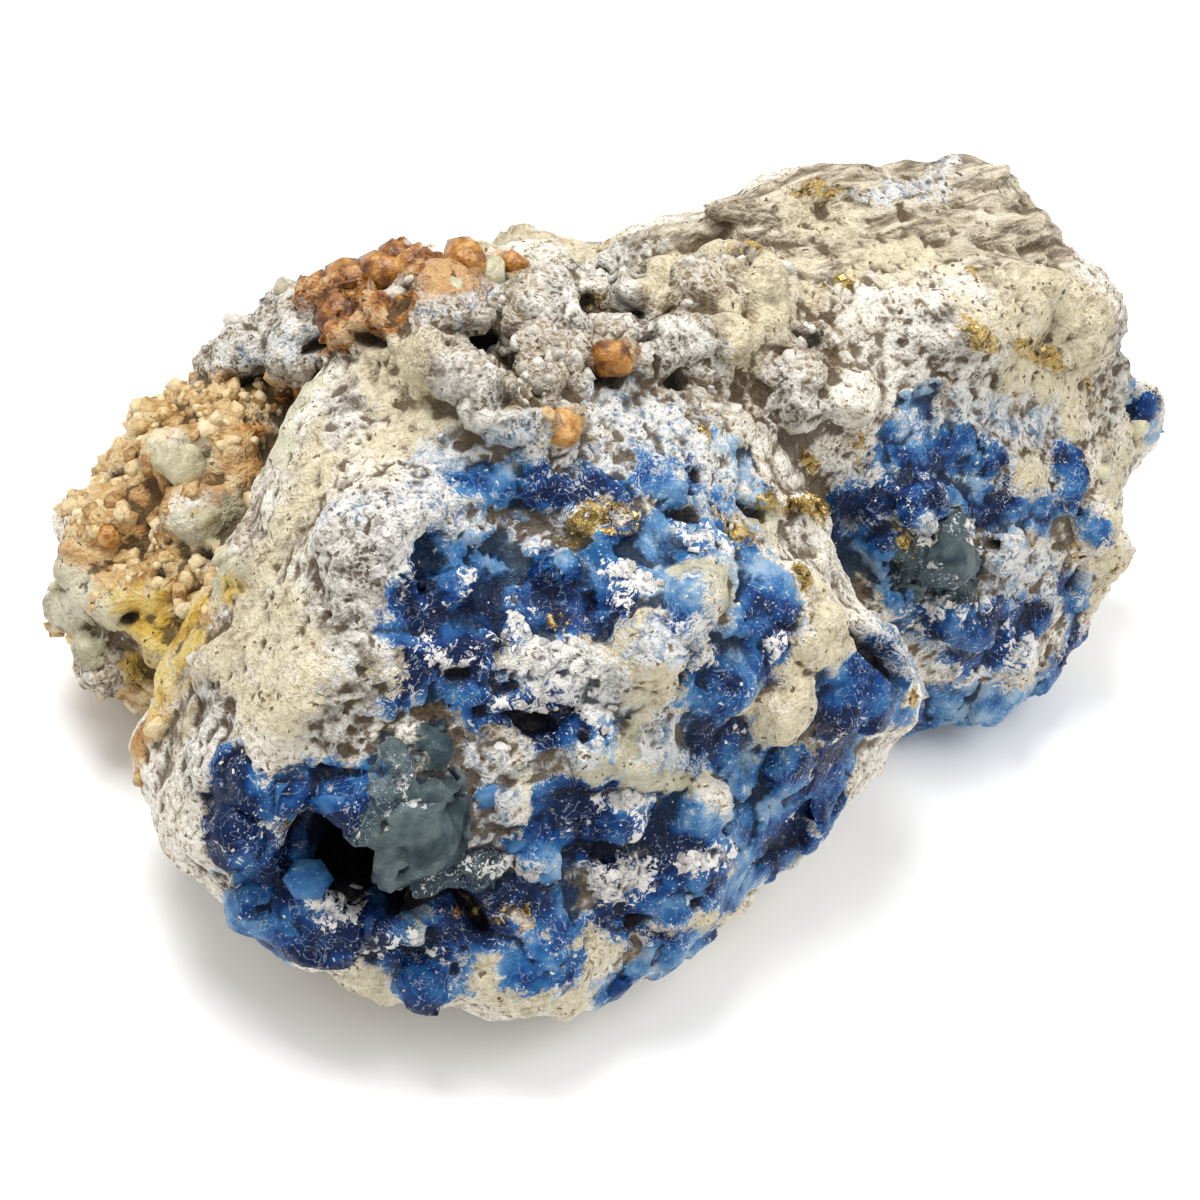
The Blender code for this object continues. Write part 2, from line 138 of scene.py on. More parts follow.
# Where each mineral lies: radius in millimetres, then the points of a line through the
# middle of the patch, as pixels of the frame on the seen side and as places in millimetres
# on the hidden side.
BLUE = [
    (6, [(425, 605), (470, 585), (520, 590)]), (5, [(560, 600), (605, 592)]),
    (4, [(430, 655), (470, 645)]), (3.6, [(500, 560), (520, 575)]), (3.5, [(570, 560), (620, 560)]),
    (3.8, [(450, 685), (520, 700), (590, 718)]), (3, [(400, 685), (430, 690)]),
    (2.5, [(465, 480), (520, 482), (580, 490), (640, 487), (690, 482)]),
    (1.8, [(640, 462), (645, 470)]), (1.6, [(690, 465), (695, 475)]),
    (3.6, [(620, 540), (680, 532), (735, 545)]), (5.2, [(755, 585), (768, 630), (742, 668)]),
    (3.6, [(708, 700), (705, 735), (715, 742)]), (3.0, [(662, 585), (690, 603)]),
    (6, [(852, 705), (868, 735), (835, 762)]), (4.6, [(872, 690), (886, 702)]), (2.4, [(880, 645), (900, 680), (908, 720)]),
    (4, [(795, 768), (755, 775), (720, 762)]), (3.2, [(815, 800), (832, 812)]),
    (6, [(570, 820), (620, 840), (680, 852)]), (4.6, [(558, 800), (588, 795)]),
    (5, [(742, 828), (780, 850), (742, 880)]), (4, [(705, 885), (645, 902), (620, 905)]),
    (3.2, [(525, 845), (548, 862)]), (4, [(770, 815), (805, 790)]),
    (4, [(615, 985), (650, 965), (690, 942)]), (3.4, [(520, 965), (562, 970)]),
    (5.2, [(238, 800), (245, 850), (262, 892)]), (4, [(290, 790), (340, 795), (380, 790)]),
    (5, [(285, 930), (330, 932), (380, 920)]), (4.2, [(410, 985), (430, 982)]),
    (3.8, [(430, 935), (480, 930)]), (3.2, [(222, 850), (242, 910), (270, 945)]),
    (3.8, [(390, 935), (400, 960)]), (3.4, [(440, 892), (500, 890), (560, 905)]),
    (4.2, [(300, 850), (340, 860)]),
    (3.6, [(890, 450), (940, 455), (985, 455)]), (3.6, [(860, 500), (920, 500), (1000, 510)]),
    (4.8, [(860, 550), (900, 580), (935, 595)]), (3.6, [(1020, 515), (1045, 512)]),
    (4.0, [(900, 620), (950, 632), (1035, 622)]), (3.6, [(920, 670), (970, 662), (1015, 655)]),
    (3.0, [(930, 695), (980, 690)]), (2.4, [(910, 400), (928, 412)]),
    (3, [(1060, 465), (1080, 500), (1095, 530)]), (2.8, [(1070, 580), (1075, 620), (1065, 650)]),
    (2.6, [(1130, 395), (1150, 410), (1155, 432)]), (2.2, [(738, 460), (750, 472)]),
    (1.6, [(720, 435), (725, 442)]), (1.8, [(720, 495), (760, 500)]),
    (9, [(18, 42, 34), (4, 40, 28)]), (8, [(46, 36, 34), (58, 30, 30)]), (7, [(-20, 42, 24), (-10, 44, 16)]),
    (8, [(76, 4, 26), (74, 12, 36)]), (6, [(30, 40, 14), (14, 42, 12)]), (5, [(-34, 38, 18)]),
    (7, [(58, -30, 4), (30, -34, 3)]), (6, [(70, 18, 14)]),
]
PALE_BLUE = [
    (4.2, [(440, 462), (500, 464), (560, 455)]), (5, [(620, 410), (660, 420), (700, 440)]),
    (5.0, [(430, 515), (500, 520), (560, 528)]), (4, [(600, 470), (660, 462), (720, 470)]),
    (1.6, [(245, 350), (300, 342), (320, 350)]), (4.4, [(470, 770), (490, 810), (470, 860)]),
    (1.8, [(460, 300), (500, 290)]), (1.6, [(430, 312), (445, 325)]),
    (3.2, [(650, 640), (690, 625), (690, 660)]), (4.0, [(910, 430), (960, 425), (1000, 440)]),
    (3.0, [(555, 745), (580, 740)]), (3.4, [(670, 735), (690, 745)]), (3.2, [(1040, 560), (1060, 600)]),
    (7, [(880, 500), (960, 520), (1000, 590)]), (6, [(900, 640), (1000, 640)]), (2.8, [(880, 560), (905, 600)]), (2.6, [(1000, 560), (1010, 600)]), (2.4, [(930, 640), (975, 640)]), (2.2, [(1000, 478), (1015, 500)]), (2.0, [(880, 530), (900, 520)]), (2.0, [(950, 520)]),
    (2.4, [(330, 515), (360, 510)]), (3.0, [(1005, 425), (1050, 430)]), (3.4, [(620, 860), (640, 880)]),
    (10, [(30, 40, 40), (54, 34, 44)]), (8, [(-8, 42, 36), (-18, 40, 38)]), (8, [(74, -2, 44)]),
    (0.9, [(860, 192), (900, 190), (950, 192)]), (1.2, [(930, 158), (950, 165)]),
]
SLATE = [
    (2.2, [(400, 758), (430, 762), (452, 770)]), (5.4, [(415, 800), (430, 830), (440, 870)]),
    (4.4, [(385, 835), (400, 865)]), (3.4, [(430, 895), (450, 890)]), (4.8, [(915, 565), (945, 550), (960, 580)]),
    (6, [(64, 26, 24)]), (5, [(-26, 42, 30)]),
]
CREAM = [
    (4.0, [(660, 285), (685, 265), (720, 255)]), (5, [(745, 330), (760, 300), (770, 290)]),
    (2.4, [(800, 275), (805, 292)]), (3.4, [(805, 220), (835, 222)]), (3.4, [(870, 262), (905, 262), (925, 258)]),
    (3.6, [(965, 318), (985, 328)]), (4.2, [(1010, 318), (1050, 325), (1090, 340)]),
    (6.6, [(1010, 375), (1040, 395), (1065, 405)]), (4.4, [(1030, 285), (1070, 300), (1095, 320)]),
    (5.4, [(390, 375), (420, 395), (450, 415)]), (4.4, [(380, 415), (395, 435)]),
    (6, [(260, 630), (300, 650), (350, 680)]), (4.6, [(240, 665), (280, 700), (320, 712)]),
    (3.6, [(370, 665), (385, 672)]), (3.0, [(345, 400), (325, 450), (300, 510), (265, 580), (230, 650), (195, 710)]),
    (5.6, [(395, 385), (430, 410), (455, 425)]), (4.6, [(640, 640), (660, 665), (650, 680)]), (4.4, [(820, 610), (835, 635), (810, 655)]),
    (4.2, [(650, 715), (680, 712)]), (4.4, [(760, 700), (790, 700), (770, 735)]), (3.2, [(745, 725), (760, 740)]),
    (3.0, [(580, 925), (610, 935), (590, 960)]), (2.4, [(650, 935), (700, 922), (755, 902)]),
    (3.0, [(490, 990), (540, 998), (580, 1000)]), (3.4, [(450, 975), (480, 965)]),
    (3.4, [(305, 975), (345, 985), (370, 990)]), (3.6, [(1115, 470), (1115, 530), (1100, 590)]),
    (2.6, [(950, 712), (1000, 700), (1030, 680)]), (2.4, [(1130, 425), (1138, 440)]),
    (3.4, [(1015, 465), (1035, 480)]), (3.0, [(1085, 570), (1095, 600)]), (3.4, [(640, 600), (620, 650)]),
    (12, [(40, 30, 54), (60, 20, 52)]), (9, [(0, 34, 52), (-12, 34, 46)]), (10, [(76, -8, 10), (78, 6, 8)]),
    (10, [(-10, 44, 4), (20, 42, 4)]), (8, [(44, 38, 16)]),
]
GREEN_CREAM = [
    (3.0, [(225, 565), (235, 580)]), (2.6, [(60, 585), (70, 605)]), (2.8, [(205, 520), (225, 530)]),
    (3.2, [(665, 572), (700, 575), (725, 582)]), (3.8, [(600, 765), (640, 770), (685, 775)]),
    (3.0, [(620, 740), (640, 735)]), (3.0, [(640, 800), (665, 795)]), (3.0, [(495, 290), (500, 280)]),
    (3.0, [(65, 620), (90, 640), (110, 620)]), (3.4, [(75, 585), (70, 570)]), (2.6, [(200, 465), (175, 460)]),
    (3.4, [(290, 420), (300, 400)]), (2.6, [(270, 440), (285, 460)]), (2.8, [(510, 800), (520, 780)]),
    (2.6, [(195, 520), (180, 530)]), (2.6, [(770, 512), (760, 530)]), (3.6, [(530, 515), (560, 520)]),
]
GREY = [
    (5.4, [(340, 530), (345, 580), (375, 620)]), (4.4, [(370, 510), (390, 550)]),
    (4.6, [(350, 725), (400, 712), (460, 722)]), (4.2, [(790, 400), (810, 410)]), (3.6, [(460, 385), (490, 410), (500, 425)]),
    (4.6, [(230, 365), (270, 345), (310, 330)]), (3.2, [(285, 295), (265, 310)]), (3.4, [(620, 315), (660, 340), (700, 355)]),
    (3.0, [(590, 270), (620, 255), (650, 250)]), (3.6, [(930, 330), (960, 365), (985, 390)]),
    (3.0, [(1020, 430), (1050, 445)]), (3.2, [(205, 700), (215, 730), (190, 770)]), (3.4, [(560, 320), (575, 300)]),
    (3.0, [(340, 395), (350, 420)]), (3.0, [(1120, 330), (1128, 380), (1110, 420)]),
    (9, [(10, 40, 48), (24, 38, 50)]), (9, [(66, 22, 46)]), (9, [(-30, 38, 6)]), (8, [(78, 4, 44)]),
]
TAN = [
    (6, [(150, 430), (140, 480), (120, 530)]), (5, [(180, 410), (220, 400), (240, 430)]),
    (5, [(100, 550), (95, 590), (130, 580)]), (5, [(180, 550), (160, 590), (200, 610)]),
    (4.4, [(230, 470), (245, 500), (215, 540)]), (4.4, [(80, 520), (75, 545)]), (3, [(285, 395), (265, 410)]),
    (2.4, [(140, 760), (150, 735), (165, 715)]), (3.2, [(180, 490), (200, 440)]), (2.2, [(560, 425), (545, 430)]),
    (3.0, [(340, 990), (300, 970)]), (8, [(-62, 38, 24), (-56, 42, 14)]), (9, [(-48, 42, 26), (-44, 44, 12)]),
    (7, [(-70, 30, 10), (-66, 20, 6)]), (2.4, [(990, 570), (1030, 575)]),
]
ORANGE = [
    (2.6, [(240, 435), (262, 440)]), (2.0, [(210, 500), (205, 490)]), (2.4, [(245, 465), (262, 475)]),
    (2.0, [(110, 540), (125, 525)]), (1.8, [(150, 495), (170, 500)]), (2.2, [(555, 425), (568, 432)]),
    (2.2, [(145, 745), (150, 730)]), (3.0, [(440, 280), (470, 262), (485, 258)]), (2.0, [(515, 265), (518, 268)]),
    (1.6, [(85, 560), (100, 570)]),
]
MUSTARD = [
    (3.2, [(150, 625), (175, 640), (195, 620)]), (2.6, [(140, 675), (165, 680), (160, 700)]),
    (2.0, [(185, 660), (200, 640)]), (1.6, [(225, 600), (235, 590)]), (1.6, [(120, 605), (135, 600)]),
]
RUST = [
    (3.4, [(320, 300), (350, 290), (385, 280)]), (3.4, [(345, 325), (365, 320), (395, 300)]),
    (3.2, [(400, 262), (425, 268)]), (2.4, [(310, 285), (320, 280)]), (2.0, [(602, 362), (615, 355)]),
    (1.4, [(230, 440), (240, 425)]), (0.9, [(475, 912), (515, 918)]), (0.8, [(520, 935), (535, 925)]),
    (5, [(-36, 34, 40)]),
]
BANDED = [
    (5, [(660, 252), (730, 225), (790, 200), (850, 180)]), (6, [(850, 200), (930, 185), (1000, 190)]),
    (6, [(800, 240), (880, 230), (960, 235), (1040, 250)]), (5, [(1000, 270), (1060, 290), (1105, 350)]),
    (5, [(900, 160), (980, 165), (1030, 215)]), (12, [(40, 24, 62), (60, 14, 62)]), (9, [(70, 4, 56), (74, -6, 50)]),
    (9, [(18, 30, 58)]), (3, [(1110, 400), (1105, 440)]), (3.0, [(240, 640), (215, 680), (185, 730)]),
    (2.4, [(330, 430), (312, 480), (290, 540)]),
]
BRASS = [
    (1.4, [(575, 525), (590, 515)]), (0.8, [(605, 520), (640, 515)]), (0.7, [(620, 508), (630, 505)]),
    (1.6, [(765, 500), (800, 505), (820, 515)]), (0.9, [(722, 520), (745, 540)]), (0.9, [(800, 575), (806, 568)]),
    (1.3, [(805, 190), (828, 190)]), (1.0, [(995, 155), (1008, 160)]), (1.1, [(965, 325), (980, 340), (995, 342)]),
    (1.0, [(1015, 345), (1040, 358), (1065, 365)]), (0.9, [(1085, 385), (1095, 405)]), (0.9, [(905, 545), (920, 530)]),
    (0.9, [(740, 245), (752, 258)]), (0.9, [(355, 858), (358, 862)]), (0.9, [(480, 912), (530, 922)]),
    (0.7, [(582, 318), (590, 310)]), (0.7, [(965, 592), (975, 598)]), (0.7, [(915, 690), (918, 695)]),
    (0.7, [(1105, 570), (1104, 585)]), (0.6, [(545, 615), (550, 630)]), (0.6, [(1080, 545), (1078, 555)]),
    (0.6, [(860, 450), (862, 462)]), (0.9, [(800, 450), (815, 470)]), (0.9, [(845, 280), (820, 285)]),
    (0.6, [(700, 428), (715, 440)]), (0.6, [(520, 400), (522, 408)]),
    (1.6, [(54, 34, 34)]), (1.4, [(12, 44, 24)]), (1.4, [(-26, 42, 20)]), (1.4, [(78, -2, 34)]), (1.6, [(30, 36, 48)]),
]
WHITE = [
    (1.7, [(610, 575), (640, 590)]), (1.0, [(490, 632), (482, 642)]), (0.9, [(515, 605), (520, 630)]),
    (1.1, [(432, 655), (452, 662)]), (1.2, [(505, 690), (540, 700)]), (3.1, [(560, 665), (605, 680), (595, 705)]),
    (1.0, [(700, 655), (720, 658)]), (1.0, [(772, 640), (785, 632)]), (1.3, [(615, 800), (640, 800)]),
    (1.0, [(630, 822), (645, 815)]), (1.3, [(685, 862), (720, 850), (735, 838)]), (1.1, [(475, 862), (495, 858)]),
    (1.3, [(325, 905), (355, 898)]), (1.0, [(272, 818), (278, 838)]), (0.8, [(378, 948), (392, 938)]),
    (0.9, [(415, 930), (432, 940)]), (1.4, [(500, 755), (512, 770)]), (1.3, [(925, 660), (950, 672)]), (1.1, [(985, 600), (1000, 612)]), (1.0, [(900, 610), (915, 628)]), (1.0, [(965, 530), (985, 540)]),
    (1.2, [(955, 685), (980, 672)]), (1.0, [(935, 612), (960, 625)]), (1.0, [(872, 470), (880, 482)]),
    (1.2, [(1008, 622), (1015, 645)]), (1.0, [(1000, 680), (1030, 652)]), (0.8, [(920, 515), (925, 535)]),
    (1.0, [(555, 540), (530, 552)]), (1.7, [(640, 870), (600, 885)]), (1.0, [(470, 580), (474, 588)]),
    (1.2, [(690, 530), (720, 550)]), (1.9, [(410, 520), (395, 560)]), (1.0, [(790, 530), (830, 530)]),
    (0.8, [(540, 450), (570, 460)]), (1.2, [(640, 800), (600, 790)]), (1.2, [(840, 730), (828, 740)]),
]
DEEP = [
    (7, [(420, 650), (480, 650), (540, 690)]), (5, [(560, 600), (600, 600)]), (6, [(230, 800), (300, 850), (380, 880)]),
    (6, [(320, 790), (370, 790)]), (6, [(540, 800), (590, 810)]), (7, [(600, 880), (680, 890)]),
    (7, [(830, 740), (870, 700)]), (5, [(900, 640), (960, 640), (1040, 630)]), (5, [(720, 700), (715, 740)]),
    (5, [(560, 480), (690, 490)]), (6, [(860, 490), (980, 500)]), (5, [(400, 960), (430, 985)]), (6, [(290, 930), (330, 935), (385, 930)]), (5, [(440, 895), (540, 900)]),
    (6, [(1070, 480), (1075, 620)]), (9, [(18, 42, 30)]), (7, [(76, 6, 28)]),
]
LUMPY = [
    (12, [(450, 310), (560, 345), (680, 340), (770, 300)]), (6, [(520, 410), (600, 380)]), (10, [(225, 350), (300, 330), (350, 300)]),
    (9, [(90, 580), (70, 640), (150, 640)]), (8, [(230, 560), (210, 620)]), (12, [(-30, 38, 34), (0, 40, 44)]),
    (12, [(40, 36, 20), (60, 30, 10)]),
]
PATCHES = {
    "deep": DEEP, "lumpy": LUMPY,
    "banded": BANDED, "cream": CREAM, "grey": GREY, "tan": TAN, "pale_blue": PALE_BLUE,
    "green_cream": GREEN_CREAM, "slate": SLATE, "blue": BLUE, "orange": ORANGE,
    "mustard": MUSTARD, "rust": RUST, "white": WHITE, "brass": BRASS,
}
# How far outside its patches a mineral is still reckoned, in millimetres.
FIELD_REACH = 8.0
# How far the edges of the patches wander, and over what lengths.
WANDER, WANDER_LENGTH = 2.2, 5.0
JITTER = 1.3


def read_points(mesh):
    """The mesh's points and their outward directions, as two tables of rows."""
    count = len(mesh.vertices)
    places = np.empty(count * 3, np.float32)
    ways = np.empty(count * 3, np.float32)
    mesh.vertices.foreach_get("co", places)
    mesh.vertices.foreach_get("normal", ways)
    return places.reshape(-1, 3).astype(float), ways.reshape(-1, 3).astype(float)


def depth_inside(patches, places):
    """Millimetres that each place lies inside the nearest edge of the patches, below 0 outside."""
    depth = np.full(len(places), -FIELD_REACH)
    for radius, line in patches:
        ends = [np.array(spot(point)) for point in line]
        for start, end in zip(ends, ends[1:] or ends):
            along = end - start
            share = np.clip((places - start) @ along / max(along @ along, 1e-12), 0, 1)
            gap = np.linalg.norm(places - start - share[:, None] * along, axis=1) / MM
            depth = np.maximum(depth, radius - gap)
    return depth


def ripple(places, length, seed):
    """Smooth noise of about -1 to 1 at each place, over the length in millimetres."""
    shift = Vector((seed * 17.3, seed * 5.1, seed * 9.7))
    size = 1 / (length * MM)
    return np.array([noise.noise(Vector(place) * size + shift) for place in places])


def stirred(places, reach, length, seed):
    """The places moved about by smooth noise, by up to the reach in millimetres."""
    return places + reach * MM * np.stack([ripple(places, length, seed + add) for add in range(3)], axis=1)


def lottery(cell, seed):
    """A number of 0 to 1 that belongs to each whole-numbered cell."""
    cell = cell.astype(np.int64)
    mixed = (cell[:, 0] * 73856093) ^ (cell[:, 1] * 19349663) ^ (cell[:, 2] * 83492791) ^ (seed * 2654435)
    for turn in (1274126177, 974634211):
        mixed = ((mixed ^ (mixed >> 15)) * turn) & 0xFFFFFFFF
    return mixed / 0xFFFFFFFF


def grains_at(places, length, seed):
    """The grains that fill the stone, about as wide as the length in millimetres. For each
    place: how far it is from the middle of its own grain and from the middle of the next one,
    in grain lengths, where the middle is, and the number of 0 to 1 that belongs to the grain."""
    at = places / (length * MM)
    home = np.floor(at)
    own = np.full(len(at), 9.0)
    following = np.full(len(at), 9.0)
    middle = np.zeros_like(at)
    number = np.zeros(len(at))
    for x in (-1, 0, 1):
        for y in (-1, 0, 1):
            for z in (-1, 0, 1):
                cell = home + (x, y, z)
                centre = cell + np.stack([lottery(cell, seed * 7 + axis) for axis in (1, 2, 3)], axis=1)
                gap = np.linalg.norm(at - centre, axis=1)
                closer = gap < own
                following = np.where(closer, own, np.minimum(following, gap))
                middle = np.where(closer[:, None], centre, middle)
                number = np.where(closer, lottery(cell, seed * 7 + 4), number)
                own = np.where(closer, gap, own)
    return own, following, middle * length * MM, number


def tip(amount, low, high):
    """0 below low, 1 above high, and a smooth slope between."""
    share = np.clip((amount - low) / (high - low), 0, 1)
    return share * share * (3 - 2 * share)


def dome(gap, reach):
    """The height of a rounded grain of height 1 at that distance from its middle."""
    return np.sqrt(np.clip(1 - (gap / reach) ** 2, 0, 1))


def facet(places, middle, number, steep):
    """The height of the flat tilted face that each grain ends in, in millimetres."""
    turn, rise = 2 * math.pi * (number * 7 % 1), 2 * (number * 29 % 1) - 1
    around = np.sqrt(1 - rise * rise)
    lean = np.stack([around * np.cos(turn), around * np.sin(turn), rise], axis=1)
    return steep * ((places - middle) * lean).sum(axis=1) / MM


places, ways = read_points(rounded)
wandered = stirred(places, WANDER, WANDER_LENGTH, 1)
bent = stirred(places, 0.9, 2.4, 21)
# Grains of four sizes: each belongs to one mineral, the one at its middle.
gap_l, next_l, middle_l, number_l = grains_at(bent, 4.6, 1)
gap_m, next_m, middle_m, number_m = grains_at(bent, 2.7, 2)
gap_s, next_s, middle_s, number_s = grains_at(bent, 1.7, 3)
gap_b, next_b, middle_b, number_b = grains_at(wandered, 8.5, 4)
edge_l, edge_m, edge_s = next_l - gap_l, next_m - gap_m, next_s - gap_s
off = wandered - bent

MIDDLES = {"blue": middle_m, "rust": middle_m, "slate": middle_l}
depths = {}
for name, patches in PATCHES.items():
    here = depth_inside(patches, wandered)
    there = depth_inside(patches, MIDDLES.get(name, middle_s) + off)
    depths[name] = np.clip(0.4 * here + 0.6 * there + JITTER * (number_s - 0.5), -6, 6)
share_of = {name: tip(depth, -0.5, 0.5) for name, depth in depths.items()
            if name not in ("deep", "lumpy")}
ORDER = ["banded", "cream", "grey", "tan", "green_cream", "pale_blue", "blue", "slate", "orange", "mustard",
         "rust", "white", "brass"]
left_over = np.ones(len(places))
for name in reversed(ORDER):
    share_of[name] = share_of[name] * left_over
    left_over = left_over * (1 - share_of[name] / np.maximum(left_over, 1e-6))
crust = left_over

# Heights of the relief, in millimetres.
SWELL, SWELL_LENGTH = 0.6, 9.0
ROUGH, ROUGH_LENGTH = 0.30, 2.0

swell = SWELL * ripple(places, SWELL_LENGTH, 4)
rough = ripple(places, ROUGH_LENGTH, 5)
band = places @ np.array([0.22, 0.62, 0.75]) / MM + 2.6 * ripple(places, 15, 15) + 0.9 * ripple(places, 5, 16)
layered = np.sin(2 * math.pi * band / 2.6) * 0.5 + np.sin(2 * math.pi * band / 6.1 + 1) * 0.5

pit_m = tip(number_m, 0.80, 0.84) * (1 - tip(gap_m, 0.25, 0.60))
pit_s = tip(number_s, 0.76, 0.80) * (1 - tip(gap_s, 0.25, 0.65))
crease_s, crease_m, crease_l = 1 - tip(edge_s, 0, 0.30), 1 - tip(edge_m, 0, 0.22), 1 - tip(edge_l, 0, 0.14)

lumpy = tip(depths["lumpy"], -2.5, 2.5)
coarse = 0.12 + 0.65 * tip(number_b * 5 % 1, 0.40, 0.70)
crease_b = 1 - tip(next_b - gap_b, 0, 0.10)
relief = {
    "crust": (0.5 + lumpy) * (dome(gap_l, 0.85) * (0.3 + number_l) + 0.6 * dome(gap_m, 0.8) * number_m - 0.8)
             + 0.35 * dome(gap_s, 0.8) - (0.3 + 0.6 * lumpy) * pit_m - 0.45 * pit_s - 0.2,
    "grey": 1.0 * dome(gap_l, 0.85) + 0.9 * dome(gap_m, 0.8) * number_m + 0.45 * dome(gap_s, 0.8) * (0.3 + number_s)
            - 1.2 * pit_m - 0.9 * pit_s - 1.2,
    "cream": 0.6 * dome(gap_l, 0.9) + 0.3 * dome(gap_m, 0.9) + 0.3 * dome(gap_s, 0.85) - 0.6 * pit_s - 0.6,
    "green_cream": 0.8 * dome(gap_l, 0.85) + 0.5 * dome(gap_m, 0.85) - 0.7,
    "banded": 0.40 * layered + 0.35 * dome(gap_m, 0.8) - 0.5 * pit_m - 0.2,
    "tan": 1.9 * dome(gap_l, 0.8) + 1.0 * dome(gap_m, 0.8) * (0.2 + number_m) + 0.3 * dome(gap_s, 0.8) - 0.5 * pit_m - 1.8,
    "pale_blue": 0.8 * dome(gap_m, 0.85) * number_m + 0.4 * (number_s - 0.5) - 0.4 * pit_s - 0.3,
    "blue": 0.7 * (number_b - 0.5) + facet(places, middle_b, number_b, 0.14) + coarse * (0.35 * (number_l - 0.5)
            + facet(places, middle_l, number_l, 0.18) + 0.25 * (number_m - 0.5)) + 0.35 * ripple(places, 3.4, 31)
            - 0.15 * crease_b + 0.2,
    "slate": 0.6 * (number_l - 0.5) + facet(places, middle_l, number_l, 0.25) + 2.2 * tip(depths["slate"], -0.2, 1.8) - 0.6,
    "rust": 1.2 * number_l + 0.8 * (number_m - 0.5) + facet(places, middle_l, number_l, 0.5)
            + facet(places, middle_m, number_m, 0.4) - 0.5 * crease_m,
    "white": 0.9 * dome(gap_m, 0.85) * number_m + 0.5 * dome(gap_s, 0.8) - 0.7 * pit_s + 0.1,
    "brass": 0.9 * (number_s - 0.5) + 0.4,
}
relief["orange"] = relief["tan"]
relief["mustard"] = relief["green_cream"]
tone = {"blue": 0.5 * number_b + 0.25 * number_l + 0.25 * number_m, "slate": number_l, "rust": number_m, "tan": number_m}
crease = {"blue": np.maximum(0.55 * crease_b, 0.25 * coarse * crease_l), "slate": 0.5 * crease_l,
          "rust": np.maximum(crease_m, crease_l), "tan": np.maximum(crease_m * 0.75, crease_l), "cream": 0.3 * crease_l,
          "banded": 0.8 * pit_m, "green_cream": 0.7 * crease_l, "mustard": 0.6 * crease_l,
          "grey": np.maximum(np.maximum(pit_m, pit_s), 0.55 * crease_m), "pale_blue": 0.5 * crease_m, "white": pit_s}
every = dict(share_of, crust=crust)
height = sum(share * relief[name] for name, share in every.items())
shade = sum(share * tone.get(name, number_s) for name, share in every.items())
# How creased each point is; the stone skin's painted shade also follows it.
cleft = sum(share * np.clip(crease.get(name, np.maximum(crease_l, np.maximum(pit_m, 0.6 * crease_m))), 0, 1)
            for name, share in every.items())
lift = swell + height + ROUGH * rough * (1 - 0.7 * share_of["blue"])
lift = lift * tip(places[:, 2] / MM, 0.3, 2.5)

# Lumps that stand out of the skin: radius and height, then the line through their middle.
LUMPS = [
    (3.6, 2.0, [(455, 368), (478, 388)]), (3.4, 2.2, [(490, 400), (505, 418)]), (3.4, 1.8, [(438, 300), (480, 303)]),
    (2.4, 1.2, [(512, 320)]), (4.2, 2.0, [(548, 300), (558, 335)]), (2.2, 1.6, [(520, 355)]),
    (2.0, 1.4, [(533, 385), (550, 386)]), (2.4, 1.6, [(575, 362), (580, 382)]), (3.0, 1.8, [(622, 288), (605, 328)]),
    (2.6, 1.5, [(640, 318), (652, 305)]), (3.2, 1.3, [(690, 290)]), (3.4, 1.6, [(722, 285)]), (3.2, 1.4, [(765, 290), (765, 322)]),
    (2.6, 1.5, [(738, 335)]), (3.2, 1.6, [(680, 345), (706, 352)]), (2.6, 1.6, [(608, 360)]), (1.6, 1.0, [(643, 368)]),
    (2.8, 1.2, [(550, 415), (560, 425)]), (3.0, 1.8, [(312, 800), (366, 806)]), (4.2, 0.9, [(300, 932), (340, 932)]),
    (4.0, 1.0, [(410, 985)]), (3.0, 1.2, [(310, 975), (350, 988)]), (4.2, 1.0, [(655, 662)]), (3.4, -1.5, [(446, 573)]), (3.0, -1.2, [(555, 561)]), (4.0, 1.4, [(822, 635)]),
    (3.2, 0.8, [(570, 815)]), (2.8, 1.2, [(525, 845)]), (4.0, 1.5, [(285, 300), (300, 320)]), (3.4, 1.5, [(230, 350)]),
    (3.6, 1.6, [(178, 415)]), (3.6, 1.6, [(130, 430)]), (4.0, 1.6, [(100, 510)]), (3.4, 1.6, [(75, 560)]), (3.0, 1.4, [(240, 440)]),
    (3.0, 1.4, [(245, 560)]), (3.2, 0.9, [(205, 520)]), (3.2, 1.2, [(70, 620)]), (3.6, 1.2, [(340, 540), (350, 580)]),
    (3.4, 1.2, [(768, 715)]), (3.2, 1.0, [(610, 770), (670, 775)]), (3.0, 1.3, [(250, 790), (238, 840), (255, 885)]),
]
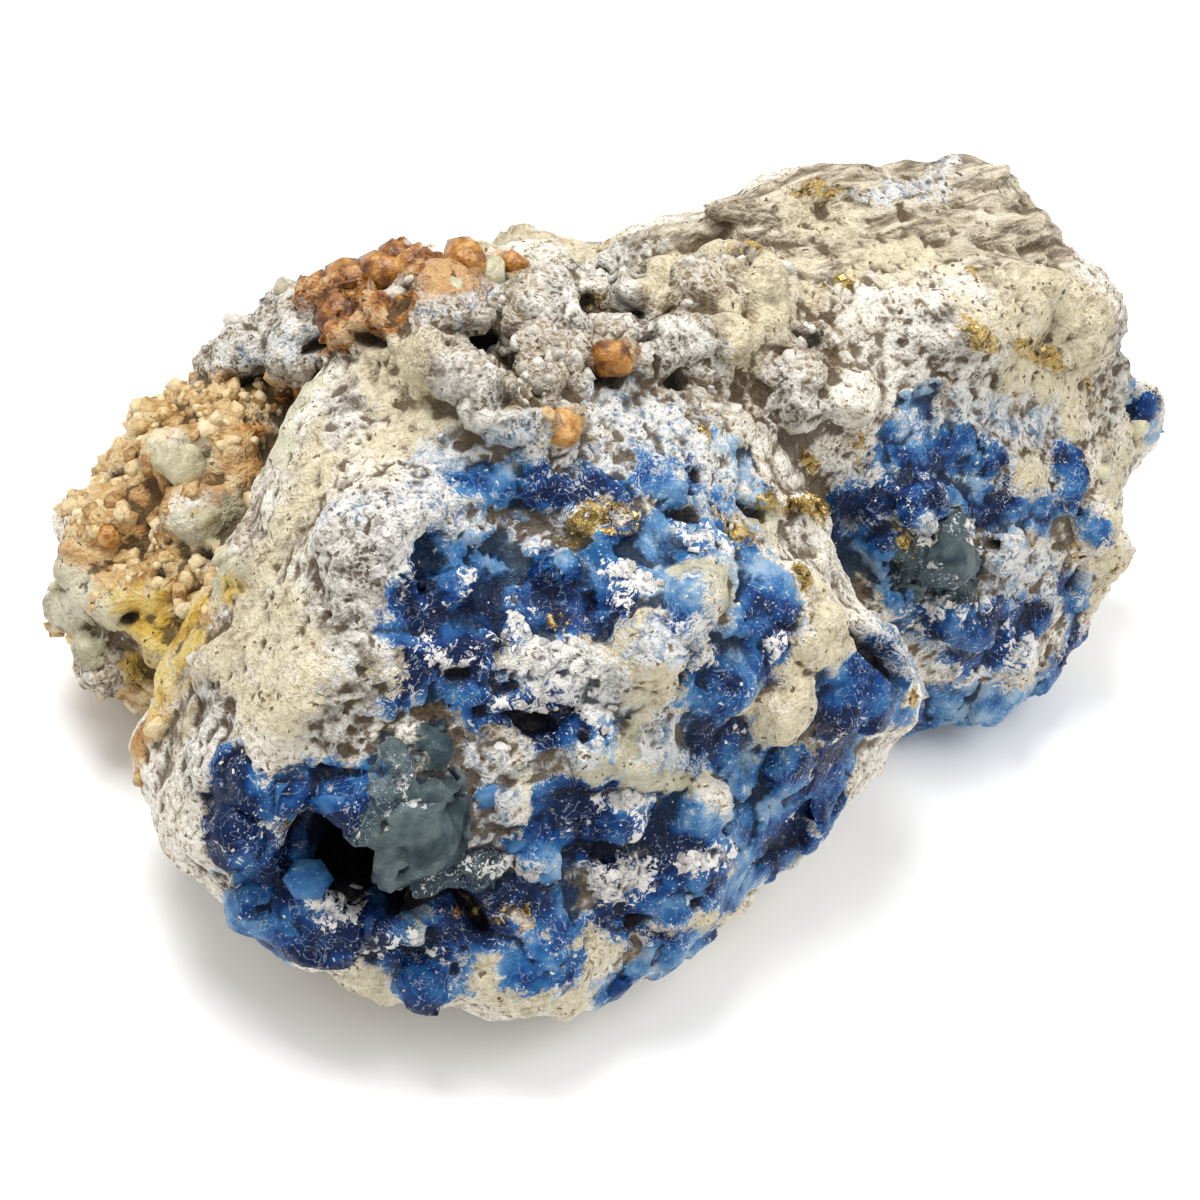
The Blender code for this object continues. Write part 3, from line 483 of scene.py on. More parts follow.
# Clefts and holes that the solid is too coarse for, which the stone skin paints near black as shade: radius and depth,
# then the line.
HOLES = [
    (3.4, 7.0, [(312, 838), (345, 842), (352, 862)]), (2.4, 6.0, [(338, 880), (375, 890)]), (1.8, 4.5, [(395, 897), (440, 906), (475, 913)]),
    (1.7, 2.6, [(470, 338), (490, 345)]), (1.3, 2.2, [(452, 336)]), (1.2, 1.8, [(505, 360), (510, 375)]), (1.8, 2.8, [(522, 402), (538, 404)]),
    (1.3, 1.5, [(580, 305), (586, 318)]), (1.1, 1.2, [(622, 318), (634, 322)]), (1.4, 1.6, [(645, 265), (636, 275)]),
    (1.4, 1.5, [(602, 272), (606, 288)]), (1.3, 1.8, [(595, 380), (612, 384)]), (1.0, 1.4, [(643, 336), (655, 333)]),
    (1.2, 1.6, [(675, 372), (686, 382)]), (1.2, 1.4, [(728, 248), (738, 256)]), (1.1, 1.3, [(750, 262)]), (0.9, 1.0, [(690, 264), (705, 258)]),
    (1.1, 2.2, [(488, 708), (520, 714), (550, 722)]), (1.5, 2.4, [(578, 735)]), (1.6, 2.0, [(465, 672)]),
    (1.5, 2.4, [(688, 652), (682, 690)]), (1.2, 2.0, [(745, 506), (758, 515)]), (1.1, 1.8, [(672, 508), (695, 510)]),
    (2.0, 3.2, [(862, 636), (880, 655), (898, 680)]), (1.5, 2.5, [(1075, 582)]), (1.0, 1.4, [(800, 330), (820, 335)]),
    (1.4, 1.8, [(160, 580)]), (1.4, 2.0, [(205, 548), (225, 556)]), (1.3, 1.8, [(640, 918)]), (1.2, 1.6, [(700, 905)]),
    (1.4, 2.0, [(365, 342), (378, 338)]), (1.3, 1.8, [(990, 545)]), (1.2, 1.8, [(260, 515)]), (1.2, 1.6, [(225, 380), (270, 384)]),
    (1.1, 1.5, [(500, 640)]), (1.2, 1.6, [(310, 345), (322, 352)]), (1.2, 1.6, [(130, 620)]), (1.0, 1.2, [(120, 470)]), (1.2, 1.5, [(700, 470)]),
]


def reach_of(line, radius, places):
    """0 in the middle of the line, 1 at its edge, more beyond."""
    return 1 - depth_inside([(radius, line)], places) / radius


for radius, tall, line in LUMPS:
    lift = lift + tall * dome(reach_of(line, radius, wandered), 1.15)
hollow = np.zeros(len(places))
for radius, deep, line in HOLES:
    sunk = 1 - tip(reach_of(line, radius, wandered), 0.5, 1.25)
    lift = lift - deep * sunk
    hollow = np.maximum(hollow, sunk)

places = places + ways * (lift * MM)[:, None]
places[:, 2] = np.where(places[:, 2] < FOOT_FLAT * MM, 0, places[:, 2])
rounded.vertices.foreach_set("co", places.astype(np.float32).ravel())
rounded.update()


def sunken(mesh, places, ways, strokes):
    """How far each point lies below its smoothed surroundings, in millimetres."""
    ends = np.empty(len(mesh.edges) * 2, np.int32)
    mesh.edges.foreach_get("vertices", ends)
    first, second = ends.reshape(-1, 2).T
    count = len(places)
    near = np.bincount(first, minlength=count) + np.bincount(second, minlength=count)
    smoothed = places.copy()
    for stroke in range(strokes):
        smoothed = np.stack([np.bincount(first, smoothed[second, axis], count)
                             + np.bincount(second, smoothed[first, axis], count) for axis in range(3)], axis=1)
        smoothed = smoothed / near[:, None]
    return ((smoothed - places) * ways).sum(axis=1) / MM


def keep(mesh, name, amounts):
    mesh.attributes.new(name, "FLOAT", "POINT").data.foreach_set("value", amounts.astype(np.float32))


for name, depth in depths.items():
    keep(rounded, name, depth)
ways = read_points(rounded)[1]
# How sunken each point is; the stone skin's painted shade follows it.
cavity = 1.3 * sunken(rounded, places, ways, 3) + 0.45 * sunken(rounded, places, ways, 30)
keep(rounded, "cavity", np.clip(cavity, -3, 3))
clear = tip(places[:, 2] / MM, 3.5, 6.0) * (1 - hollow)
for name, amounts in (("hollow", hollow), ("shade", shade), ("cleft", cleft), ("crust_share", crust * clear * (0.12 + 0.88 * lumpy)),
                      *((name + "_share", share * clear) for name, share in share_of.items())):
    keep(rounded, name, amounts)
for face in rounded.polygons:
    face.use_smooth = True
# The flat foot needs no small faces.
body = bmesh.new()
body.from_mesh(rounded)
foot = {face for face in body.faces if max(corner.co.z for corner in face.verts) < 1e-6}
bmesh.ops.dissolve_limit(
    body, angle_limit=0.02,
    verts=[corner for corner in body.verts if all(face in foot for face in corner.link_faces)],
    edges=[line for line in body.edges if all(face in foot for face in line.link_faces)])
bmesh.ops.triangulate(body, faces=[face for face in body.faces if len(face.verts) > 4])
body.to_mesh(rounded)
body.free()


def lay(tree, kind, settings=None, **inputs):
    """Adds one node. Inputs go by name, with _ for a space, or by n and their number."""
    made = tree.nodes.new(kind)
    for name, value in (settings or {}).items():
        setattr(made, name, value)
    for name, value in inputs.items():
        key = int(name[1:]) if name[0] == "n" and name[1:].isdigit() else name.replace("_", " ")
        socket = made.inputs[key]
        if isinstance(value, bpy.types.NodeSocket):
            tree.links.new(value, socket)
        else:
            socket.default_value = value
    return made


def sums(tree, operation, first, second=0.0, third=0.0):
    return lay(tree, "ShaderNodeMath", {"operation": operation}, n0=first, n1=second, n2=third).outputs[0]


def between(tree, amount, low, high, start=0.0, end=1.0):
    return lay(tree, "ShaderNodeMapRange", {"interpolation_type": "SMOOTHSTEP"}, Value=amount, From_Min=low,
               From_Max=high, To_Min=start, To_Max=end).outputs[0]


def blend(tree, share, under, over):
    made = tree.nodes.new("ShaderNodeMix")
    made.data_type = "RGBA"
    for socket, value in ((made.inputs[0], share), (made.inputs[6], under), (made.inputs[7], over)):
        if isinstance(value, bpy.types.NodeSocket):
            tree.links.new(value, socket)
        elif isinstance(value, tuple):
            socket.default_value = (*value, 1)
        else:
            socket.default_value = value
    return made.outputs[2]


def clouds(tree, where, size_mm, detail=2.0, rough=0.6, warp=0.0):
    return lay(tree, "ShaderNodeTexNoise", Vector=where, Scale=1 / (size_mm * MM), Detail=detail,
               Roughness=rough, Distortion=warp)


def ramp(tree, amount, stops):
    made = lay(tree, "ShaderNodeValToRGB", Fac=amount)
    points = made.color_ramp.elements
    while len(points) < len(stops):
        points.new(0.5)
    for point, (at, colour) in zip(points, stops):
        point.position = at
        point.color = (*colour, 1)
    return made.outputs[0]


def finish(name):
    made = bpy.data.materials.new(name)
    made.use_nodes = True
    made.node_tree.nodes.clear()
    return made, made.node_tree


def measure(tree, name):
    return lay(tree, "ShaderNodeAttribute", {"attribute_name": name}).outputs["Fac"]


def show(tree, shader):
    tree.links.new(shader.outputs[0], lay(tree, "ShaderNodeOutputMaterial").inputs[0])


stone, tree = finish("Stone skin")
where = lay(tree, "ShaderNodeTexCoord").outputs["Object"]
fine = clouds(tree, where, 0.6, 2, 0.75).outputs[0]
middle = clouds(tree, where, 2.3, 3, 0.6)
hue = middle.outputs[1]
middle = middle.outputs[0]
broad = clouds(tree, where, 7.5, 2, 0.5).outputs[0]
moved = lay(tree, "ShaderNodeVectorMath", {"operation": "MULTIPLY_ADD"}, n0=hue, n1=(0.003, 0.003, 0.003), n2=where)
speck = lay(tree, "ShaderNodeTexVoronoi", {}, Vector=moved.outputs[0], Scale=1 / (1.05 * MM))
speck_gap = speck.outputs["Distance"]
speck_lot = lay(tree, "ShaderNodeSeparateColor", {}, Color=speck.outputs["Color"])
lot = speck_lot.outputs[0]
other_lot = speck_lot.outputs[1]
hole_shade, shade_here, cleft_here = measure(tree, "hollow"), measure(tree, "shade"), measure(tree, "cleft")
cavity_here = measure(tree, "cavity")
lacework = clouds(tree, where, 1.5, 3, 0.75, 1.2).outputs[0]
jag = sums(tree, "MULTIPLY_ADD", lacework, 4.6, sums(tree, "MULTIPLY_ADD", fine, 1.2, -2.9))
mixed = sums(tree, "MULTIPLY_ADD", shade_here, 0.45, sums(tree, "MULTIPLY_ADD", middle, 1.3, -0.37))
mixed_fine = sums(tree, "MULTIPLY_ADD", fine, 0.6, sums(tree, "SUBTRACT", mixed, 0.3))
soft = sums(tree, "MULTIPLY_ADD", broad, 0.9, sums(tree, "MULTIPLY_ADD", middle, 0.7, -0.3))


def edge(name, width=0.25, jagged=1.0, bias=0.0):
    amount = sums(tree, "ADD", measure(tree, name), sums(tree, "MULTIPLY_ADD", jag, jagged, bias))
    return between(tree, amount, -width, width)


# White and grey crust, which covers what nothing else does.
crusty = sums(tree, "MULTIPLY_ADD", fine, 0.3, sums(tree, "MULTIPLY_ADD", soft, 0.45, -0.375))
colour = ramp(tree, sums(tree, "MULTIPLY_ADD", lacework, 1.15, crusty),
              [(0.33, (0.15, 0.105, 0.055)), (0.42, (0.35, 0.285, 0.195)), (0.51, (0.62, 0.55, 0.435)), (0.63, (0.82, 0.775, 0.68))])
# Among the knobs the crust is browner.
colour = blend(tree, between(tree, sums(tree, "MULTIPLY_ADD", lacework, 6.0, sums(tree, "SUBTRACT", measure(tree, "lumpy"), 3.0)), -2.5, 3.0, 0.0, 0.76),
               colour, (0.235, 0.165, 0.090))
# Layers of the upper slope, streaked grey and cream.
drawn = lay(tree, "ShaderNodeMapping", Vector=where, Rotation=(0.25, 0.0, 0.28), Scale=(0.2, 1.0, 1.5)).outputs[0]
streak = clouds(tree, drawn, 1.9, 3, 0.65, 0.8).outputs[0]
layers = ramp(tree, streak, [(0.36, (0.075, 0.052, 0.028)), (0.44, (0.24, 0.185, 0.115)), (0.51, (0.46, 0.39, 0.28)),
                             (0.62, (0.66, 0.595, 0.455))])
colour = blend(tree, sums(tree, "MULTIPLY", edge("banded", 1.2, 1.4), 0.9), colour, layers)
cream_mix = sums(tree, "MULTIPLY_ADD", lacework, 1.2, sums(tree, "MULTIPLY_ADD", middle, 0.7, -0.65))
cream = ramp(tree, sums(tree, "MULTIPLY_ADD", fine, 0.35, cream_mix), [(0.10, (0.32, 0.26, 0.15)), (0.28, (0.49, 0.42, 0.265)), (0.46, (0.60, 0.525, 0.355)), (0.68, (0.715, 0.645, 0.465))])
cream_here = sums(tree, "MULTIPLY", edge("cream", 1.8, 2.0), between(tree, middle, 0.36, 0.54, 0.45, 1.0))
colour = blend(tree, cream_here, colour, cream)
greys = ramp(tree, mixed_fine, [(0.20, (0.09, 0.072, 0.055)), (0.38, (0.27, 0.235, 0.195)), (0.52, (0.46, 0.425, 0.37)),
                                (0.72, (0.71, 0.675, 0.61))])
colour = blend(tree, edge("grey", 0.8, 1.3), colour, greys)
tans = ramp(tree, soft, [(0.30, (0.28, 0.13, 0.03)), (0.42, (0.50, 0.31, 0.115)), (0.52, (0.65, 0.47, 0.235)),
                         (0.66, (0.72, 0.60, 0.38))])
colour = blend(tree, edge("tan", 0.9, 1.4), colour, tans)
greens = ramp(tree, soft, [(0.30, (0.29, 0.265, 0.17)), (0.45, (0.44, 0.41, 0.28)), (0.62, (0.62, 0.58, 0.43))])
colour = blend(tree, edge("green_cream", 0.7, 1.0), colour, greens)
pales = ramp(tree, mixed_fine, [(0.20, (0.075, 0.14, 0.24)), (0.38, (0.19, 0.265, 0.355)), (0.54, (0.37, 0.43, 0.475)),
                                (0.72, (0.60, 0.61, 0.60))])
pales = blend(tree, between(tree, sums(tree, "MULTIPLY_ADD", fine, 0.8, sums(tree, "SUBTRACT", lot, 0.4)), 0.48, 0.58), pales, (0.64, 0.63, 0.61))
colour = blend(tree, edge("pale_blue", 0.6, 1.9), colour, pales)
# Deep blue afghanite: each block has its own depth of blue, paler where it is thin.
deeper = sums(tree, "MULTIPLY", between(tree, measure(tree, "deep"), -2.0, 2.0), -0.33)
thin = between(tree, measure(tree, "blue"), -0.5, 2.6, 0.24, 0.0)
blue_mix = sums(tree, "MULTIPLY_ADD", broad, 1.9, sums(tree, "MULTIPLY_ADD", middle, 0.9, sums(tree, "SUBTRACT", thin, 1.03)))
blue_mix = sums(tree, "ADD", sums(tree, "MULTIPLY_ADD", shade_here, 0.30, blue_mix), deeper)
blues = ramp(tree, blue_mix, [(0.12, (0.001, 0.010, 0.050)), (0.28, (0.003, 0.040, 0.165)), (0.46, (0.018, 0.105, 0.275)),
                              (0.64, (0.070, 0.190, 0.370)), (0.84, (0.24, 0.36, 0.480))])
colour = blend(tree, edge("blue", 0.22, 1.5), colour, blues)
slates = ramp(tree, mixed, [(0.18, (0.014, 0.027, 0.036)), (0.42, (0.034, 0.056, 0.066)), (0.78, (0.105, 0.140, 0.142))])
colour = blend(tree, edge("slate", 0.4, 0.8), colour, slates)
colour = blend(tree, sums(tree, "MULTIPLY", edge("orange", 1.2, 1.2), 0.75), colour,
               ramp(tree, soft, [(0.30, (0.27, 0.095, 0.018)), (0.60, (0.58, 0.31, 0.10))]))
colour = blend(tree, sums(tree, "MULTIPLY", edge("mustard", 1.4, 1.2), 0.85), colour,
               ramp(tree, soft, [(0.32, (0.36, 0.19, 0.008)), (0.46, (0.60, 0.38, 0.025)), (0.62, (0.70, 0.54, 0.15))]))
rusts = ramp(tree, mixed_fine, [(0.15, (0.045, 0.014, 0.004)), (0.36, (0.17, 0.052, 0.009)), (0.55, (0.37, 0.15, 0.028)),
                                (0.75, (0.55, 0.36, 0.19))])
colour = blend(tree, edge("rust", 0.3, 1.0), colour, rusts)
# White lace: flecks along the edges of the blue and through it.
near_edge = between(tree, sums(tree, "ABSOLUTE", sums(tree, "SUBTRACT", measure(tree, "blue"), 0.2)), 0.1, 1.6, 0.10, 0.0)
chance = sums(tree, "ADD", near_edge, between(tree, middle, 0.52, 0.70, 0.0, 0.10))
flecks = between(tree, sums(tree, "ADD", lacework, chance), 0.662, 0.690)
flecks = sums(tree, "MULTIPLY", flecks, between(tree, measure(tree, "blue"), -1.2, -0.4))
colour = blend(tree, sums(tree, "MULTIPLY", flecks, 0.9), colour, blend(tree, lot, (0.48, 0.47, 0.47), (0.72, 0.70, 0.67)))
# Pale healed cracks run through the blue.
healed = sums(tree, "ABSOLUTE", sums(tree, "SUBTRACT", clouds(tree, where, 2.6, 2, 0.7, 0.8).outputs[0], 0.5))
veins = sums(tree, "MULTIPLY", between(tree, healed, 0.003, 0.014, 0.42, 0.0), between(tree, measure(tree, "blue"), -0.4, 0.3))
colour = blend(tree, veins, colour, (0.36, 0.44, 0.52))
dust = between(tree, clouds(tree, where, 0.42, 1, 0.5).outputs[0], 0.69, 0.73)
colour = blend(tree, sums(tree, "MULTIPLY", dust, between(tree, measure(tree, "blue"), -0.5, 0.3, 0.0, 0.6)), colour, (0.60, 0.62, 0.64))
white = ramp(tree, sums(tree, "MULTIPLY_ADD", lacework, 1.2, sums(tree, "MULTIPLY_ADD", fine, 0.35, -0.27)),
             [(0.34, (0.15, 0.165, 0.185)), (0.45, (0.40, 0.395, 0.38)), (0.58, (0.72, 0.70, 0.66))])
colour = blend(tree, edge("white", 0.2, 1.7), colour, white)
# The pale crust is a sponge of white walls about a millimetre apart, with painted shade in the dents between them.
glassy = sums(tree, "MAXIMUM", measure(tree, "blue"), measure(tree, "slate"))
on_pale = sums(tree, "SUBTRACT", 1.0, between(tree, glassy, -0.6, 0.3))
others = measure(tree, "banded")
for name in ("tan", "rust", "mustard", "orange", "green_cream", "cream"):
    others = sums(tree, "MAXIMUM", others, measure(tree, name))
spongy = sums(tree, "MULTIPLY", on_pale, between(tree, others, -1.2, 1.0, 1.0, 0.12))
hole = lay(tree, "ShaderNodeTexVoronoi", {}, Vector=moved.outputs[0], Scale=1 / (0.72 * MM)).outputs["Distance"]
walls = between(tree, sums(tree, "MULTIPLY_ADD", fine, 0.7, sums(tree, "SUBTRACT", hole, 0.35)), 0.40, 0.62)
# Painted shade: the dents between the walls, where the bump is lowest, are darkened brown.
cell_shade = between(tree, sums(tree, "MULTIPLY_ADD", lacework, 1.6, sums(tree, "SUBTRACT", hole, 0.8)), 0.02, 0.30, 0.62, 0.0)
colour = blend(tree, sums(tree, "MULTIPLY", cell_shade, spongy), colour, (0.185, 0.130, 0.072))
colour = blend(tree, sums(tree, "MULTIPLY", walls, sums(tree, "MULTIPLY", spongy, 0.45)), colour, (0.86, 0.82, 0.74))
# Round dark brown specks in the pale minerals, painted as the shade of small pits; painted shade in the clefts and
# sunken places; and the holes painted near black as shade.
# Painted shade of small pits: round dark brown specks on the pale minerals, partly a brown colour of their own.
pit_shade_size = sums(tree, "MULTIPLY", between(tree, lot, 0.42, 0.90, 0.0, 0.33), between(tree, middle, 0.38, 0.52))
pit_shade = between(tree, sums(tree, "SUBTRACT", pit_shade_size, speck_gap), -0.02, 0.06)
pit_shade = sums(tree, "MULTIPLY", pit_shade, on_pale)
colour = blend(tree, sums(tree, "MULTIPLY", pit_shade, 0.88), colour, blend(tree, other_lot, (0.045, 0.028, 0.014), (0.19, 0.125, 0.06)))
# Painted shade: darker, brown on the pale minerals and navy on the blue, where the skin is sunken or creased.
hollow_shade_amount = sums(tree, "MULTIPLY_ADD", cavity_here, 1.5, sums(tree, "MULTIPLY_ADD", cleft_here, 0.45, sums(tree, "MULTIPLY", cream_here, -0.22)))
painted_shade = between(tree, sums(tree, "ADD", hollow_shade_amount, sums(tree, "MULTIPLY_ADD", lacework, 1.6, -0.8)), 0.06, 0.85)
shade_tint = blend(tree, on_pale, (0.002, 0.006, 0.020), (0.090, 0.057, 0.026))
colour = blend(tree, sums(tree, "MULTIPLY", painted_shade, 0.88), colour, shade_tint)
# Painted shade: the holes are coloured near black.
colour = blend(tree, sums(tree, "MULTIPLY", hole_shade, 0.88), colour, (0.010, 0.008, 0.008))
brass_here = edge("brass", 0.15, 1.3)
colour = blend(tree, brass_here, colour, ramp(tree, mixed_fine, [(0.25, (0.04, 0.024, 0.008)), (0.45, (0.20, 0.13, 0.04)), (0.65, (0.55, 0.41, 0.16))]))

smoothness = sums(tree, "MAXIMUM", sums(tree, "MULTIPLY", edge("blue", 0.4, 1.0), sums(tree, "SUBTRACT", 1.0, flecks)), edge("slate", 0.4, 0.8))
rough = sums(tree, "SUBTRACT", between(tree, fine, 0.3, 0.7, 0.46, 0.72), sums(tree, "MULTIPLY", smoothness, 0.22))
bumps = sums(tree, "MULTIPLY_ADD", fine, 0.8, sums(tree, "MULTIPLY_ADD", lacework, 1.5, hole))
bump = lay(tree, "ShaderNodeBump", Height=bumps, Strength=between(tree, smoothness, 0.0, 1.0, 0.75, 0.30), Distance=0.0005)
shader = lay(tree, "ShaderNodeBsdfPrincipled", Base_Color=colour, Roughness=rough, Metallic=brass_here, Normal=bump.outputs[0])
shader.inputs["Specular IOR Level"].default_value = 0.16
show(tree, shader)

skin.data.materials.clear()
skin.data.materials.append(stone)
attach(skin, "root")
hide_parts("stone")


def closed_shape(name, points):
    """The smallest closed body round the points, as a stock shape about 1 mm across."""
    body = bmesh.new()
    for point in points:
        body.verts.new(Vector(point) * MM)
    bmesh.ops.convex_hull(body, input=body.verts)
    bmesh.ops.delete(body, geom=[corner for corner in body.verts if not corner.link_faces], context="VERTS")
    bmesh.ops.dissolve_limit(body, angle_limit=math.radians(4), verts=body.verts, edges=body.edges)
    bmesh.ops.recalc_face_normals(body, faces=body.faces)
    mesh = bpy.data.meshes.new(name)
    body.to_mesh(mesh)
    body.free()
    return bpy.data.objects.new(name, mesh)


def rough_block(name, seed, corners, flat=1.0):
    """An angular broken block."""
    chance = np.random.default_rng(seed)
    points = chance.normal(size=(corners, 3))
    points /= np.linalg.norm(points, axis=1)[:, None]
    points *= chance.uniform(0.42, 0.58, size=(corners, 1))
    return closed_shape(name, points * (1, 1, flat))


def rough_knob(name, seed):
    """A rounded knob, faintly lobed."""
    body = bmesh.new()
    bmesh.ops.create_icosphere(body, subdivisions=2, radius=0.5 * MM)
    for corner in body.verts:
        corner.co *= 1 + 0.30 * noise.noise(corner.co / MM * 2.3 + Vector((seed * 3.1, seed, 0)))
    mesh = bpy.data.meshes.new(name)
    body.to_mesh(mesh)
    body.free()
    return bpy.data.objects.new(name, mesh)


def prism(name, sides, tall, point, seed):
    """A crystal with that many sides and a pointed end."""
    chance = np.random.default_rng(seed)
    ring = [(0.5 * math.cos(2 * math.pi * turn / sides), 0.5 * math.sin(2 * math.pi * turn / sides)) for turn in range(sides)]
    points = [(x, y, -0.4) for x, y in ring] + [(x, y, tall) for x, y in ring]
    points += [(0.45 * x + chance.uniform(-0.03, 0.03), 0.45 * y, tall + point) for x, y in ring]
    return closed_shape(name, points)


def torn_flake(name, seed, lobes=9):
    """A thin torn plate with a ragged outline."""
    chance = np.random.default_rng(seed)
    body = bmesh.new()
    under, over = [], []
    for turn in range(lobes):
        reach = chance.uniform(0.28, 0.62)
        around = 2 * math.pi * (turn + chance.uniform(-0.3, 0.3)) / lobes
        rise = chance.uniform(-0.05, 0.12)
        under.append(body.verts.new(Vector((reach * math.cos(around), reach * math.sin(around), rise - 0.14)) * MM))
        over.append(body.verts.new(Vector((0.86 * reach * math.cos(around), 0.86 * reach * math.sin(around), rise + 0.06)) * MM))
    low = body.verts.new(Vector((0, 0, -0.2)) * MM)
    high = body.verts.new(Vector((0, 0, 0.14)) * MM)
    for turn in range(lobes):
        after = (turn + 1) % lobes
        body.faces.new((under[turn], under[after], over[after], over[turn]))
        body.faces.new((over[turn], over[after], high))
        body.faces.new((under[after], under[turn], low))
    bmesh.ops.recalc_face_normals(body, faces=body.faces)
    mesh = bpy.data.meshes.new(name)
    body.to_mesh(mesh)
    body.free()
    return bpy.data.objects.new(name, mesh)


def petal_plate(name, seed, lobes=13, thick=0.17):
    """A domed plate with a lobed outline and thin edges. It keeps how near the rim each point is."""
    chance = np.random.default_rng(seed)
    body = bmesh.new()
    rim_share = body.verts.layers.float.new("rim")
    rings = [[], [], []]
    waves = chance.uniform(0, 6.28, 2)
    for turn in range(lobes):
        around = 2 * math.pi * (turn + chance.uniform(-0.2, 0.2)) / lobes
        reach = 0.5 * (0.86 + 0.10 * math.sin(2 * around + waves[0]) + 0.07 * math.sin(5 * around + waves[1])
                       + chance.uniform(-0.08, 0.08))
        for ring, (share, rise) in enumerate(((0.80, -thick), (1.0, 0.0), (0.62, thick * 0.85))):
            corner = body.verts.new(Vector((reach * share * math.cos(around), reach * share * math.sin(around),
                                            rise + 0.04 * chance.uniform(-1, 1))) * MM)
            corner[rim_share] = (0.6, 1.0, 0.15)[ring]
            rings[ring].append(corner)
    low = body.verts.new(Vector((0, 0, -thick * 1.2)) * MM)
    high = body.verts.new(Vector((0, 0, thick * (1.1 + 0.5 * chance.uniform()))) * MM)
    for turn in range(lobes):
        after = (turn + 1) % lobes
        for under, over in ((0, 1), (1, 2)):
            body.faces.new((rings[under][turn], rings[under][after], rings[over][after], rings[over][turn]))
        body.faces.new((rings[2][turn], rings[2][after], high))
        body.faces.new((rings[0][after], rings[0][turn], low))
    bmesh.ops.recalc_face_normals(body, faces=body.faces)
    mesh = bpy.data.meshes.new(name)
    body.to_mesh(mesh)
    body.free()
    return bpy.data.objects.new(name, mesh)


def place_by_hand(name, crystals, material, smooth=True):
    """Sets single crystals into the skin. Each is a shape, a pixel, its three sizes, how far it
    stands out in millimetres, its turn in degrees, how much it faces the front and its shade."""
    body = bmesh.new()
    shade_of = body.verts.layers.float.new("shade")
    rim_of = body.verts.layers.float.new("rim")
    for shape, pixel, size, out, turn, faces_front, shade in crystals:
        at = spot(pixel)
        away = surface.find_nearest(at)[1]
        away = (away.lerp((CAMERA_PLACE - at).normalized(), faces_front)).normalized()
        held = Matrix.Translation(at + away * out * MM) @ away.to_track_quat("Z", "Y").to_matrix().to_4x4() \
            @ Matrix.Rotation(math.radians(turn), 4, "Z") @ Matrix.Diagonal((*size, 1))
        before = len(body.verts)
        body.from_mesh(shape.data)
        body.verts.ensure_lookup_table()
        for corner in body.verts[before:]:
            corner.co = held @ corner.co
            corner[shade_of] = shade
    bmesh.ops.recalc_face_normals(body, faces=body.faces)
    mesh = bpy.data.meshes.new(name)
    body.to_mesh(mesh)
    body.free()
    mesh.polygons.foreach_set("use_smooth", [smooth] * len(mesh.polygons))
    mesh.materials.append(material)
    piece = bpy.data.objects.new(name, mesh)
    bpy.context.scene.collection.objects.link(piece)
    for shape in {crystal[0] for crystal in crystals}:
        bpy.data.objects.remove(shape)
    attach(piece, "root")
    return piece


